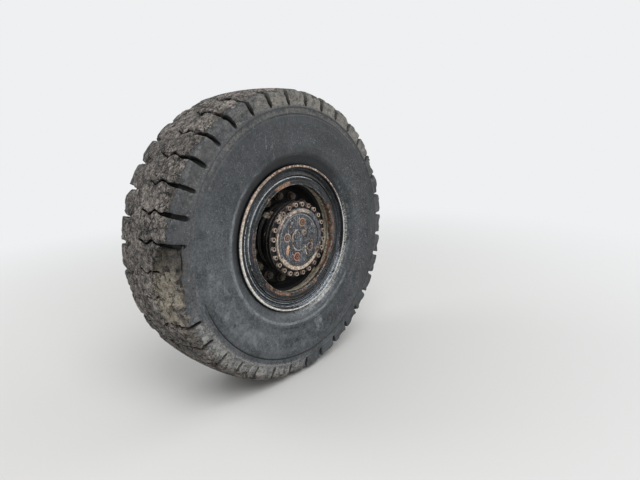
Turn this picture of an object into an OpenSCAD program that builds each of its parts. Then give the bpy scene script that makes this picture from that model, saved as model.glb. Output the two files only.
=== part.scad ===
// Driven wheel of a wheeled excavator: solid tyre, five-piece rim, planetary hub and the axle end
// that carries them. Millimetres, +Z up, wheel axis on Y, outer face towards -Y. The origin is the
// centre of the axle's bolting face.

/* [Tyre] */
// Radius over the lugs
tyre_r = 738; // [700:1:760]
// Width across the tread
tread_w = 414; // [390:1:430]
// Width across the sidewalls
tyre_w = 464; // [446:1:480]
// Height of the lugs over their foot on the sidewall
lug_h = 90; // [80:1:95]
// Number of lugs round each shoulder
lug_n = 36; // [30:1:40]
// Width of the slots between the lugs at the shoulders
slot_w = 16; // [12:0.5:18]
// Width of the cuts across the tread
cut_w = 6; // [4:0.5:8]

/* [Rim] */
// Width from lip to lip
rim_w = 426; // [410:1:440]
// Radius of the bead seats at the flanges
seat_r = 317.5; // [285:0.5:356]
// Height of the flanges over the bead seats
flange_h = 50.8; // [48:0.1:53]
// Depth of a flange from its lip to its tyre side
flange_t = 33; // [30:1:36]
// Thickness of the side rings
ring_t = 11; // [9:0.5:13]
// Height of the bead seats over the rim base
band_t = 22.5; // [20:0.5:25]
// Wall of the rim base
base_t = 12; // [10:0.5:14]
// Distance that the gutter stands in from the bore
gutter_in = 10; // [8:0.5:12]

/* [Disc and nuts] */
// Depth of the disc's outer face behind the lip
disc_s = 118; // [110:1:125]
// Thickness of the disc
disc_t = 20; // [16:0.5:24]
// Number of wheel studs
stud_n = 15; // [12:1:16]
// Distance of the stud circle inside the rim base's bore
stud_in = 70.5; // [68:0.5:74]
// Angle of the first stud
stud_phase = 20.5; // [0:0.5:24]
// Radius of a stud
stud_r = 11; // [10:0.5:12]
// Width of a wheel nut across its flats
nut_af = 33; // [30:0.5:36]
// Height of a wheel nut on its collar
nut_h = 20; // [18:0.5:26]

/* [Hub] */
// Distance of the hub flanges' edge inside the stud circle
hub_in = 22.5; // [21:0.5:25]
// Thickness of the end plate
plate_t = 22; // [18:0.5:25]
// Thickness of the drum's front flange
front_t = 24; // [20:0.5:28]
// Number of cover screws
screw_n = 24; // [20:1:24]
// Angle of the first screw
screw_phase = 3.4; // [0:0.1:15]
// Radius of a screw
screw_r = 7; // [6:0.5:8]
// Radius of a screw head
screw_head_r = 10.5; // [9:0.25:11]
// Height of the cover's raised edge
cover_h = 16; // [12:0.5:20]
// Number of planet pins under the cover
pin_n = 4; // [3:1:5]
// Angle of the first planet pin
pin_phase = 73; // [60:1:90]
// Radius of a planet pin's plug
pin_r = 9; // [8:0.5:11]

/* [Axle end] */
// Distance from the bolting face to the rim's outer lip
reach = 640; // [600:1:700]
// Radius of the brake housing
brake_r = 208; // [200:1:214]
// Number of bolts between brake housing and axle arm
bolt_n = 16; // [12:1:20]
// Radius of a housing bolt
bolt_r = 8; // [7:0.5:9]
// Radius of the axle arm
arm_r = 112; // [100:1:120]
// Bore of the axle arm
arm_bore_r = 62; // [56:1:66]
// Radius of the bolting flange
end_r = 205; // [195:1:215]
// Thickness of the bolting flange
end_t = 30; // [24:1:36]
// Number of bolting holes
end_n = 16; // [8:1:20]
// Radius of a bolting hole
end_hole_r = 11; // [9:0.5:12]
// Radius of the spindle under the hub
spindle_r = 75; // [70:0.5:80]
// Radius of the half shaft
shaft_r = 30; // [26:0.5:32]

/* [Hidden] */

// Gap between pieces bolted or pressed to each other
seat = 0.2;
// Gap between the tyre and the rim
fit = 0.5;
// Radial clearance of a running fit
run = 0.05;
// Radial clearance of a bolt in its hole
hole = 0.3;
// Gap that moving pieces keep from fixed ones
clear = 6;
round_n = 96;

rubber = [0.28, 0.29, 0.29];
rim_black = [0.16, 0.17, 0.18];
hub_grey = [0.26, 0.27, 0.28];
axle_black = [0.13, 0.13, 0.14];
steel = [0.55, 0.54, 0.52];
rust = [0.62, 0.44, 0.32];

// Depths s run inwards from the plane of the outer lip; profiles are lists of [radius, s]
mid_s = rim_w / 2;
side_s = mid_s - tyre_w / 2;
edge_s = mid_s - tread_w / 2;
back_s = mid_s + tread_w / 2;

// Radii of the tyre
foot_r = tyre_r - lug_h;
cut_floor_r = tyre_r - 28;
rib_r = foot_r - 6;
ring_r = foot_r - 45;

// Radii and depths of the rim
lip_r = seat_r + flange_h;
seat_low_r = seat_r - 7;
base_r = seat_r - band_t;
bore_r = base_r - base_t;
gutter_r = bore_r - gutter_in;
groove_r = base_r - 6.6;
lock_r = seat_r - 4.9;
bevel_r = lip_r + 62;
roll_r = flange_t - ring_t;
roll_c_r = lip_r - 1 - roll_r;
roll_c_s = flange_t - roll_r;
gutter_face_s = 8;
gutter_lip_s = 13;
groove_end_s = 24.5;
band_end_s = 112;
taper_s = rim_w - band_end_s;
base_end_s = rim_w - gutter_face_s;

// Radii and depths of the disc and the hub
stud_pcr = bore_r - stud_in;
stud_rim = 29.5;
stud_flange_r = stud_pcr + stud_rim;
stud_flange_t = 26;
stud_head_t = 9;
hub_r = stud_pcr - hub_in;
screw_pcr = hub_r - 14;
drum_r = hub_r - 22;
pilot_r = drum_r + 8;
cover_r = screw_pcr - screw_head_r - 8.5;
cover_in_r = cover_r - 23;
dish_r = cover_in_r - 10;
dish_h = 12;
cap_r = 0.45 * dish_r;
pin_pcr = (cap_r + dish_r) / 2 - 3;
disc_back_s = disc_s + disc_t;
front_back_s = plate_t + seat + front_t;
stud_flange_s = disc_back_s + seat;
stud_flange_back_s = stud_flange_s + stud_flange_t;
drum_back_s = stud_flange_back_s + 6;

// Radii and depths of the axle end
brake_s = stud_flange_back_s + stud_head_t + clear + 4;
joint_s = 324;
joint_t = 24;
joint_r = brake_r + 18;
bolt_pcr = joint_r - 13;
foot_in_r = spindle_r + 21;
seal_r = drum_r - 14;
arm_s = joint_s + seat;
neck_s = arm_s + joint_t;
neck_l = 100;
end_s = reach - end_t;
end_pcr = end_r - 25;
spindle_end_s = 92;
shaft_end_s = 50;
shaft_seal_s = reach - 42;

// Lugs torn off the outer shoulder: [lug, share of the slot's depth]
torn_lugs = [[17, 0.95], [18, 0.85], [19, 0.35]];
// Oil plugs on the cover: [radius from the axis, angle, plug radius]
oil_plug_table = [[cap_r - 14, 51, 9.5], [dish_r + 12, -33, 9], [pin_pcr, -37, 6]];
// Radial plug on the drum's side: [angle, s, radius, height]
drum_plug_table = [[125, 68, 10, 9], [125, 68, 6.5, 17]];
// Ribs on the cover's dish: [angle, inner radius, outer radius]
cover_rib_table = [[-54, cap_r - 4, dish_r], [-152, cap_r - 4, pin_pcr + 15]];
// Radial fittings on the brake housing: [angle, s, radius, height]
fitting_table = [[62, 250, 13, 20], [62, 250, 8, 32], [100, 250, 9, 12], [100, 250, 5, 26]];

// Turns a profile of [radius, s] round the wheel axis
module turned(profile) {
    translate([0, -reach, 0]) rotate([-90, 0, 0]) rotate_extrude($fn = round_n) polygon(profile);
}

// Puts a child drawn along +Z with its foot at 0 at polar place [radius, angle] and depth s
module at_polar(r, angle, s) {
    translate([r * cos(angle), s - reach, r * sin(angle)]) rotate([-90, 0, 0]) children();
}

// Repeats a child evenly on a circle round the wheel axis
module ring_of(n, r, s, phase = 0) {
    for (i = [0 : n - 1]) at_polar(r, phase + i * 360 / n, s) children();
}

// Puts a child drawn along +Z so that it stands outwards on a barrel of radius r
module on_barrel(r, angle, s) {
    translate([0, s - reach, 0]) rotate([0, 90 - angle, 0]) translate([0, 0, r]) children();
}

// Wedge of the whole wheel between two angles, up to radius r
module sector(from, to, r) {
    at_polar(0, 0, 0) linear_extrude(rim_w) polygon(concat(
        [[0, 0]], [for (angle = [from, (from + to) / 2, to]) [r * cos(angle), -r * sin(angle)]]));
}

// Hexagonal head or socket by its width across the flats
module hex(af, h) {
    cylinder(d = af / cos(30), h = h, $fn = 6);
}

// Points of an arc in profile coordinates, angles measured from the radius direction
function arc(r0, s0, radius, from, to, steps = 6) =
    [for (i = [0 : steps]) let (a = from + (to - from) * i / steps)
        [r0 + radius * cos(a), s0 + radius * sin(a)]];

// The same profile on the inner side of the wheel
function mirrored(profile) = [for (p = profile) [p[0], rim_w - p[1]]];

// Plain rows of the tyre's section from the outer bead seat to the rib under the lugs
function flank_rows() =
    let (gap = roll_r + fit, tangent = gap * tan(22.5))
    [[seat_r + fit, flange_t + fit],
     [roll_c_r + tangent, roll_c_s + gap], [roll_c_r + gap, roll_c_s + tangent],
     [bevel_r, side_s + 1], [ring_r, side_s + 1], [rib_r, edge_s - 14]];

// Rows across the lugs: [radius, s, floor radius, floor s, width of the slot, drift in degrees, tear]
function lug_rows() = [
    [foot_r, edge_s - 11, foot_r, edge_s - 11, slot_w, 0, 0],
    [tyre_r - 38, edge_s - 4, foot_r + 20, edge_s + 18, slot_w, 0, 0.8],
    [tyre_r - 22, edge_s + 8, foot_r + 36, edge_s + 40, slot_w, 0, 1],
    [tyre_r - 10, edge_s + 34, foot_r + 46, edge_s + 60, slot_w, 0, 0.9],
    [tyre_r - 4, edge_s + 90, cut_floor_r - 6, edge_s + 96, cut_w, -0.2, 0.5],
    [tyre_r - 1, edge_s + 126, cut_floor_r, edge_s + 126, cut_w, -1.2, 0.15],
    [tyre_r, edge_s + 166, cut_floor_r, edge_s + 166, cut_w, 0.7, 0],
    [tyre_r, edge_s + 218, tyre_r, edge_s + 218, cut_w, -0.9, 0],
    [tyre_r, back_s - 140, tyre_r, back_s - 140, cut_w, 0.5, 0],
    [tyre_r - 2, back_s - 82, cut_floor_r - 2, back_s - 86, cut_w, 3, 0],
    [tyre_r - 9, back_s - 34, foot_r + 46, back_s - 54, slot_w, 2.1, 0],
    [tyre_r - 28, back_s - 4, foot_r + 30, back_s - 28, slot_w, 2.1, 0],
    [foot_r, back_s + 11, foot_r, back_s + 11, slot_w, 2.1, 0]];

// Plain rows from the rib on the inner flank back to the inner bead seat, then the stepped bore
function back_rows() = concat(
    mirrored([[rib_r, edge_s - 14], [ring_r, side_s + 1], [bevel_r, side_s + 1],
              [roll_c_r + roll_r + fit, flange_t + fit], [seat_r + fit, flange_t + fit]]),
    [[seat_low_r + fit, taper_s - 1], [base_r + 2, taper_s - 12.5], [base_r + 2, band_end_s + 2],
     [seat_low_r + fit, band_end_s]]);

// How far a lug is torn down towards its slots' floor
function torn_share(lug) = max([0, for (torn = torn_lugs) if (torn[0] == lug) torn[1]]);

// Points round the tyre on one row: 2 on each pitch of a plain row, 4 where the lugs are
function row_points(row) =
    let (pitch = 360 / lug_n, slotted = len(row) > 2)
    [for (lug = [0 : lug_n - 1], column = [0 : slotted ? 3 : 1])
        let (half = slotted ? asin(row[4] / 2 / row[0]) : 0,
             turn = slotted ? row[5] + [0, half, pitch / 2, pitch - half][column] : column * pitch / 2,
             share = slotted ? (column == 0 ? 1 : torn_share(lug) * row[6]) : 0,
             r = slotted ? row[0] + (row[2] - row[0]) * share : row[0],
             s = slotted ? row[1] + (row[3] - row[1]) * share : row[1],
             angle = lug * pitch + turn)
        [r * cos(angle), s - reach, r * sin(angle)]];

// Number of a row's point under column 0 to 4 of a lug's pitch
function point_number(row, start, lug, column) =
    len(row) > 2 ? start + (lug * 4 + column) % (lug_n * 4)
                 : start + (lug * 2 + [0, 0, 1, 2, 2][column]) % (lug_n * 2);

module tyre() {
    rows = concat(flank_rows(), lug_rows(), back_rows());
    counts = [for (row = rows) lug_n * (len(row) > 2 ? 4 : 2)];
    starts = [for (i = 0, total = 0; i < len(rows); total = total + counts[i], i = i + 1) total];
    points = [for (row = rows, p = row_points(row)) p];
    faces = [for (i = [0 : len(rows) - 1], lug = [0 : lug_n - 1], column = [0 : 3])
        let (next = (i + 1) % len(rows),
             a = point_number(rows[i], starts[i], lug, column),
             b = point_number(rows[i], starts[i], lug, column + 1),
             c = point_number(rows[next], starts[next], lug, column + 1),
             d = point_number(rows[next], starts[next], lug, column))
        each concat(a == b ? [] : [[a, b, c]], c == d ? [] : [[a, c, d]])];
    color(rubber) polyhedron(points, faces);
}

module rim_base() {
    pocket_s = gutter_lip_s + 2;
    pocket_w = 12;
    corner_s = rim_w - roll_c_s;
    color(rim_black) difference() {
        turned([
            [gutter_r + 1, gutter_face_s], [base_r - 4, gutter_face_s], [base_r - 2, gutter_face_s + 2],
            [base_r - 2, gutter_lip_s], [groove_r, gutter_lip_s + 1], [groove_r, groove_end_s],
            [base_r, groove_end_s + 1], [base_r, taper_s - 12], [seat_low_r, taper_s],
            [seat_r, rim_w - flange_t], [seat_r, corner_s - 3 + seat], [seat_r + 5 - seat, corner_s + seat],
            [seat_r + 7, corner_s + seat], [seat_r + 7, corner_s + 6], [seat_r - 4, base_end_s],
            [bore_r + 14, base_end_s], [bore_r, base_end_s - 14], [bore_r, 62], [gutter_r, 46],
            [gutter_r, gutter_face_s + 1]]);
        // Valve pocket inside the gutter
        intersection() {
            turned([[gutter_r - 5, pocket_s], [gutter_r + 8, pocket_s], [gutter_r + 8, pocket_s + pocket_w],
                    [gutter_r - 5, pocket_s + pocket_w]]);
            sector(-63, -33, base_r);
        }
    }
}

module bead_seat_band() {
    color(rim_black) turned([
        [base_r + 1.2 + seat, groove_end_s + seat], [seat_r - 4, groove_end_s + seat],
        [seat_r - seat, groove_end_s + 3], [seat_r - seat, flange_t], [seat_low_r, band_end_s - 2],
        [base_r + seat, band_end_s - 2], [base_r + seat, groove_end_s + 6]]);
}

// Section of a side ring: toe, flange wall and rolled lip
function side_ring_section() = concat(
    [[seat_r + seat, flange_t]],
    arc(roll_c_r, roll_c_s, roll_r, 90, 0),
    [[lip_r, 4], [lip_r - 2, 0.8], [lip_r - 5, 0], [lip_r - 9, 0], [lip_r - 11.5, 1.2], [lip_r - 12.4, 5]],
    arc(roll_c_r, roll_c_s, roll_r - ring_t, 0, 90),
    [[seat_r + 5, roll_c_s], [seat_r + seat, roll_c_s + 3]]);

module side_ring_outer() {
    color(rim_black) turned(side_ring_section());
}

module side_ring_inner() {
    color(rim_black) turned(mirrored(side_ring_section()));
}

module lock_ring() {
    split_angle = -47;
    split_w = 7;
    split_l = 60;
    low_r = groove_r + seat;
    step_r = base_r - 2 + seat;
    color(rim_black) difference() {
        turned([
            [low_r, gutter_lip_s + 1 + seat], [step_r, gutter_lip_s + seat], [step_r, gutter_lip_s - 1],
            [lock_r - 4, gutter_lip_s - 1], [lock_r - 1, gutter_lip_s + 0.4], [lock_r, gutter_lip_s + 4],
            [lock_r, groove_end_s], [low_r, groove_end_s - seat]]);
        rotate([0, -split_angle, 0]) translate([groove_r - 10, -reach, -split_w / 2])
            cube([split_l, split_l, split_w]);
    }
}

module wheel_disc() {
    edge_r = bore_r - seat;
    cone_r = stud_flange_r - 2.5;
    rise_r = (cone_r + gutter_r - 8) / 2;
    color(rim_black) difference() {
        turned([
            [pilot_r + hole, disc_s], [cone_r, disc_s], [rise_r, disc_s - 10], [gutter_r - 8, disc_s - 24],
            [gutter_r - 3, disc_s - 30], [edge_r, disc_s - 38], [edge_r, disc_s - 10],
            [gutter_r - 9, disc_s + 4], [cone_r + 5, disc_back_s], [pilot_r + hole, disc_back_s]]);
        ring_of(stud_n, stud_pcr, disc_s - 2, stud_phase) cylinder(r = stud_r + 4 * hole, h = disc_t + 4);
    }
}

module wheel_studs() {
    head_r = 17;
    tip_s = disc_s - nut_h - 10;
    color(steel) ring_of(stud_n, stud_pcr, 0, stud_phase) {
        translate([0, 0, tip_s]) cylinder(r = stud_r, h = stud_flange_back_s + 1 - tip_s);
        translate([0, 0, stud_flange_back_s + seat]) cylinder(r = head_r, h = stud_head_t);
    }
}

module wheel_nuts() {
    collar_h = 5;
    collar_r = 22.5;
    color(steel) ring_of(stud_n, stud_pcr, disc_s - seat - collar_h, stud_phase) difference() {
        union() {
            cylinder(r = collar_r, h = collar_h);
            translate([0, 0, -nut_h]) hex(nut_af, nut_h + 1);
        }
        translate([0, 0, -nut_h - 1]) cylinder(r = stud_r + seat, h = collar_h + nut_h + 2);
    }
}

module hub_drum() {
    face_s = plate_t + seat;
    cavity_r = drum_r - 26;
    relief_r = spindle_r + 9;
    land_front_s = 104;
    land_back_s = 146;
    land_l = 20;
    color(hub_grey) difference() {
        turned([
            [cavity_r, face_s], [hub_r - 1.5, face_s], [hub_r, face_s + 1.5], [hub_r, front_back_s - 2],
            [hub_r - 3, front_back_s], [drum_r + 4, front_back_s + 4], [drum_r, front_back_s + 10],
            [drum_r, disc_s - 24], [pilot_r, disc_s - 16], [pilot_r, stud_flange_s],
            [stud_flange_r, stud_flange_s], [stud_flange_r, stud_flange_back_s - 5],
            [stud_flange_r - 5, stud_flange_back_s], [drum_r + 2, stud_flange_back_s],
            [drum_r - 4, drum_back_s],
            [spindle_r + run, drum_back_s], [spindle_r + run, land_back_s], [relief_r, land_back_s - 4],
            [relief_r, land_front_s + land_l + 4], [spindle_r + run, land_front_s + land_l],
            [spindle_r + run, land_front_s], [cavity_r - 10, land_front_s - 8],
            [cavity_r, land_front_s - 20]]);
        ring_of(screw_n, screw_pcr, face_s - 1, screw_phase) cylinder(r = screw_r + hole, h = front_t - 1);
        ring_of(stud_n, stud_pcr, stud_flange_s - 2, stud_phase)
            cylinder(r = stud_r + hole, h = stud_flange_t + 4);
    }
}

module hub_end_plate() {
    color(hub_grey) difference() {
        turned([[0, 0], [hub_r - 2, 0], [hub_r, 2], [hub_r, plate_t], [0, plate_t]]);
        ring_of(screw_n, screw_pcr, -1, screw_phase) cylinder(r = screw_r + hole, h = plate_t + 2);
    }
}

module cover_screws() {
    head_h = 14;
    socket_af = 12;
    color(rust) ring_of(screw_n, screw_pcr, -head_h - seat, screw_phase) difference() {
        union() {
            cylinder(r = screw_head_r, h = head_h);
            translate([0, 0, head_h - 1]) cylinder(r = screw_r, h = plate_t + front_t - 6);
        }
        translate([0, 0, -1]) hex(socket_af, 9);
    }
}

module hub_cover() {
    boss_h = 5;
    boss_w = 6;
    rib_h = 4;
    rib_w = 8;
    ring_low = 7;
    color(hub_grey) difference() {
        union() {
            turned([
                [0, -seat], [0, -cover_h - 1], [cap_r - 3, -cover_h - 1], [cap_r, -dish_h],
                [dish_r - 2, -dish_h],
                [dish_r, -dish_h + 2], [dish_r + 2, -ring_low], [cover_in_r - 2, -ring_low],
                [cover_in_r + 2, -cover_h], [cover_r - 3, -cover_h], [cover_r, -cover_h + 3],
                [cover_r, -seat]]);
            ring_of(pin_n, pin_pcr, -dish_h - boss_h, pin_phase) cylinder(r = pin_r + boss_w, h = boss_h + 2);
            for (rib = cover_rib_table)
                rotate([0, -rib[0], 0]) translate([rib[1], -dish_h - rib_h - reach, -rib_w / 2])
                    cube([rib[2] - rib[1], rib_h + 2, rib_w]);
            for (plug = oil_plug_table)
                at_polar(plug[0], plug[1], -cover_h - 4) cylinder(r = plug[2] + boss_w - 1, h = cover_h);
        }
        ring_of(pin_n, pin_pcr, -dish_h - boss_h - 1, pin_phase) cylinder(r = pin_r + seat, h = boss_h + 3);
    }
}

module pin_plugs() {
    plug_h = 4.8;
    color(rust) ring_of(pin_n, pin_pcr, -dish_h - plug_h + 2 - seat, pin_phase) difference() {
        cylinder(r = pin_r, h = plug_h);
        translate([0, 0, -1]) hex(8, 4);
    }
}

module oil_plugs() {
    plug_h = 6;
    color(rust) {
        for (plug = oil_plug_table) at_polar(plug[0], plug[1], -cover_h - 4 - plug_h - seat) difference() {
            cylinder(r = plug[2], h = plug_h);
            translate([0, 0, -1]) hex(plug[2], plug_h);
        }
        for (plug = drum_plug_table)
            on_barrel(drum_r + seat, plug[0], plug[1]) cylinder(r = plug[2], h = plug[3]);
    }
}

module brake_housing() {
    color(axle_black) difference() {
        turned([
            [foot_in_r, brake_s], [brake_r - 14, brake_s], [brake_r, brake_s + 14],
            [brake_r, joint_s - joint_t - 10], [joint_r - 8, joint_s - joint_t],
            [joint_r, joint_s - joint_t + 3],
            [joint_r, joint_s], [foot_in_r, joint_s]]);
        ring_of(bolt_n, bolt_pcr, joint_s - joint_t + 6) cylinder(r = bolt_r + hole, h = joint_t);
    }
}

module spindle() {
    bore_in_r = shaft_r + clear;
    color(steel) turned([
        [bore_in_r, spindle_end_s], [spindle_r - 3, spindle_end_s], [spindle_r, spindle_end_s + 3],
        [spindle_r, brake_s - 4], [spindle_r + 4, brake_s], [foot_in_r - seat, brake_s + 1],
        [foot_in_r - seat, joint_s], [bore_in_r, joint_s]]);
}

module face_seal() {
    seal_w = 14;
    color(steel) turned([
        [seal_r - seal_w, brake_s - 4], [seal_r - 2, brake_s - 4], [seal_r, brake_s - 2],
        [seal_r, brake_s - seat], [seal_r - seal_w, brake_s - seat]]);
}

module axle_arm() {
    rib_n = 8;
    rib_t = 18;
    rib_in_r = arm_r - 20;
    rib_s = neck_s + neck_l + 10;
    rib_section = [[rib_in_r, rib_s], [arm_r + 2, rib_s], [end_pcr - 26, end_s + 2], [rib_in_r, end_s + 2]];
    color(axle_black) difference() {
        union() {
            turned([
                [arm_bore_r, arm_s], [joint_r, arm_s], [joint_r, neck_s - 3], [joint_r - 3, neck_s],
                [brake_r - 22, neck_s], [arm_r + 34, neck_s + 0.2 * neck_l],
                [arm_r + 8, neck_s + 0.66 * neck_l],
                [arm_r, neck_s + neck_l], [arm_r, end_s - 12], [arm_r + 12, end_s], [end_r - 2, end_s],
                [end_r, end_s + 2], [end_r, reach - 2], [end_r - 2, reach], [arm_bore_r, reach]]);
            for (i = [0 : rib_n - 1])
                rotate([0, (i + 0.25) * 360 / rib_n, 0]) translate([0, -reach, -rib_t / 2])
                    linear_extrude(rib_t) polygon(rib_section);
        }
        ring_of(bolt_n, bolt_pcr, arm_s - 1) cylinder(r = bolt_r + 2 * hole, h = joint_t + 2);
        ring_of(end_n, end_pcr, end_s - 1) cylinder(r = end_hole_r, h = end_t + 2);
    }
}

module housing_bolts() {
    head_s = neck_s + seat;
    shank_l = 40;
    color(steel) ring_of(bolt_n, bolt_pcr, head_s) {
        translate([0, 0, -shank_l]) cylinder(r = bolt_r, h = shank_l + 1);
        hex(3 * bolt_r, 10);
    }
}

module shaft_bush() {
    bush_s = spindle_end_s + 4;
    bush_l = 30;
    color(steel) turned([
        [shaft_r + run, bush_s], [shaft_r + clear - seat, bush_s],
        [shaft_r + clear - seat, bush_s + bush_l], [shaft_r + run, bush_s + bush_l]]);
}

module shaft_seal() {
    seal_l = 22;
    color(rubber) turned([
        [shaft_r + 2 + run, shaft_seal_s], [arm_bore_r - seat, shaft_seal_s],
        [arm_bore_r - seat, shaft_seal_s + seal_l], [shaft_r + 2 + run, shaft_seal_s + seal_l]]);
}

module half_shaft() {
    tooth_n = 20;
    tooth_gap = 4;
    collar_s = shaft_seal_s - 16;
    spline_s = reach - 16;
    end_face_s = reach - 3.5;
    color(steel) difference() {
        turned([
            [0, shaft_end_s], [shaft_r - 2, shaft_end_s], [shaft_r, shaft_end_s + 2], [shaft_r, collar_s - 2],
            [shaft_r + 2, collar_s], [shaft_r + 2, spline_s - 2], [shaft_r, spline_s],
            [shaft_r, end_face_s - 1.5], [shaft_r - 1.5, end_face_s], [0, end_face_s]]);
        for (i = [0 : tooth_n - 1]) rotate([0, i * 360 / tooth_n, 0])
            translate([shaft_r - 3, spline_s - 1 - reach, -tooth_gap / 2]) cube([8, 20, tooth_gap]);
    }
}

module brake_fittings() {
    color(steel) for (part = fitting_table)
        on_barrel(brake_r + seat, part[0], part[1]) cylinder(r = part[2], h = part[3]);
}

module axle_breather() {
    breather_in = 120;
    breather_s = reach - breather_in;
    color(steel) on_barrel(arm_r + seat, 90, breather_s) {
        cylinder(r = 11, h = 10);
        cylinder(r = 8, h = 24);
    }
}

tyre();
rim_base();
bead_seat_band();
side_ring_outer();
side_ring_inner();
lock_ring();
wheel_disc();
wheel_studs();
wheel_nuts();
hub_drum();
hub_end_plate();
hub_cover();
cover_screws();
pin_plugs();
oil_plugs();
axle_arm();
brake_housing();
spindle();
housing_bolts();
face_seal();
shaft_bush();
shaft_seal();
brake_fittings();
axle_breather();
half_shaft();
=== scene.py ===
"""Looks of an excavator's driven wheel: solid tyre, five-piece rim, planetary hub and axle end.

Lengths are metres. The wheel turns on the Y axis with its outer face towards -Y, and +Z is up.
A depth runs inwards along +Y from the plane of the outer rim lip. Directions are degrees round the
wheel from +X towards +Z.
"""

import logging
import math
from collections.abc import Callable, Sequence
from dataclasses import dataclass, field, replace
from enum import Enum

import bmesh
import bpy
from mathutils import Matrix, Vector, noise


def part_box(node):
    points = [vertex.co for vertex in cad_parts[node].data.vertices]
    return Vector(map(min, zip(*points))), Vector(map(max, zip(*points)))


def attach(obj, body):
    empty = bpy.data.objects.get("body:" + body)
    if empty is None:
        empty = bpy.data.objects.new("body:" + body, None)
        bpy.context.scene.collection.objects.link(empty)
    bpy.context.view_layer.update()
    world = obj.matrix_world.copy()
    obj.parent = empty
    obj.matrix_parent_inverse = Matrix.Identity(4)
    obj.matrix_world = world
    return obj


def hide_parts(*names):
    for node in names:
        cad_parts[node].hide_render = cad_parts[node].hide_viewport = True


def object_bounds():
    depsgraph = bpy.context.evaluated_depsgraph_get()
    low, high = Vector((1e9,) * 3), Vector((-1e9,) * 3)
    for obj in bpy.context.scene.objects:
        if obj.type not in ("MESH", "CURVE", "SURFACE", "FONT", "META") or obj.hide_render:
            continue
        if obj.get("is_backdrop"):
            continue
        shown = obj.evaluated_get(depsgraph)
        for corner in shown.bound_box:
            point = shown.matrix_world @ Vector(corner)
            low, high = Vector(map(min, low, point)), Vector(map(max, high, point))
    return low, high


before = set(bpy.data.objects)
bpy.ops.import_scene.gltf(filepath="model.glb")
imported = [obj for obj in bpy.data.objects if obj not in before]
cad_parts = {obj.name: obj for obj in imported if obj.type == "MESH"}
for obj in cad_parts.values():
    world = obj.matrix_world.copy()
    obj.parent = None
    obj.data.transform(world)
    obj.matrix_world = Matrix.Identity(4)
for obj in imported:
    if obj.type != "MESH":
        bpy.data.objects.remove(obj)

LOG = logging.getLogger("wheel")

Colour = tuple[float, float, float, float]
Tone = tuple[int, int, int]
Point = tuple[float, float]
Zone = tuple[float, float]
Place = tuple[float, float, float]
Tree = bpy.types.ShaderNodeTree
Material = bpy.types.Material


class Body(Enum):
    """The bodies that pieces ride on."""

    AXLE = "axle"
    WHEEL = "wheel"
    SHAFT = "shaft"


def colour(tone: Tone) -> Colour:
    """Turns a tone as a picture shows it into the linear colour that shaders take.

    Args:
        tone: Red, green and blue from 0 to 255.

    Returns:
        Linear red, green, blue and an alpha of 1.
    """
    shares = [value / 255 for value in tone]
    linear = [share / 12.92 if share <= 0.04045 else ((share + 0.055) / 1.055) ** 2.4 for share in shares]
    return *linear, 1.0


def smooth(low: float, high: float, value: float) -> float:
    """A soft step from 0 at low to 1 at high."""
    share = min(1.0, max(0.0, (value - low) / (high - low)))
    return share * share * (3 - 2 * share)


@dataclass(frozen=True)
class WheelPlace:
    """Where the wheel stands, read from the frame."""

    lip_y: float
    rim_width: float
    tip_radius: float
    side_depth: float

    @classmethod
    def from_frame(cls) -> "WheelPlace":
        """Measures the rim lips and the tyre."""
        outer_low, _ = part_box("side_ring_outer")
        _, inner_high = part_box("side_ring_inner")
        tyre_low, tyre_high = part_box("tyre")
        return cls(outer_low.y, inner_high.y - outer_low.y, tyre_high.z, tyre_low.y - outer_low.y)

    def point(self, radius: float, angle: float, depth: float) -> Vector:
        """The point at a distance from the wheel's axis, a direction and a depth."""
        turn = math.radians(angle)
        return Vector((radius * math.cos(turn), self.lip_y + depth, radius * math.sin(turn)))


def sign(operation: str, turned: bool = False) -> Callable[["Value", object], "Value"]:
    """Makes the method of an arithmetic sign.

    Args:
        operation: Operation of the Math node that the method adds.
        turned: Whether the other value comes first.

    Returns:
        The method.
    """
    def method(self: "Value", other: object) -> "Value":
        """Adds the node and returns its output."""
        return self.graph.math(operation, *((other, self) if turned else (self, other)))

    return method


@dataclass(frozen=True)
class Value:
    """An output socket that can be reckoned with, as each sign adds a Math node to its graph."""

    graph: "Graph"
    socket: bpy.types.NodeSocket

    def __abs__(self) -> "Value":
        """The value without its sign."""
        return self.graph.math("ABSOLUTE", self)

    __add__ = sign("ADD")
    __radd__ = sign("ADD", turned=True)
    __sub__ = sign("SUBTRACT")
    __rsub__ = sign("SUBTRACT", turned=True)
    __mul__ = sign("MULTIPLY")
    __truediv__ = sign("DIVIDE")
    __rtruediv__ = sign("DIVIDE", turned=True)


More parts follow.
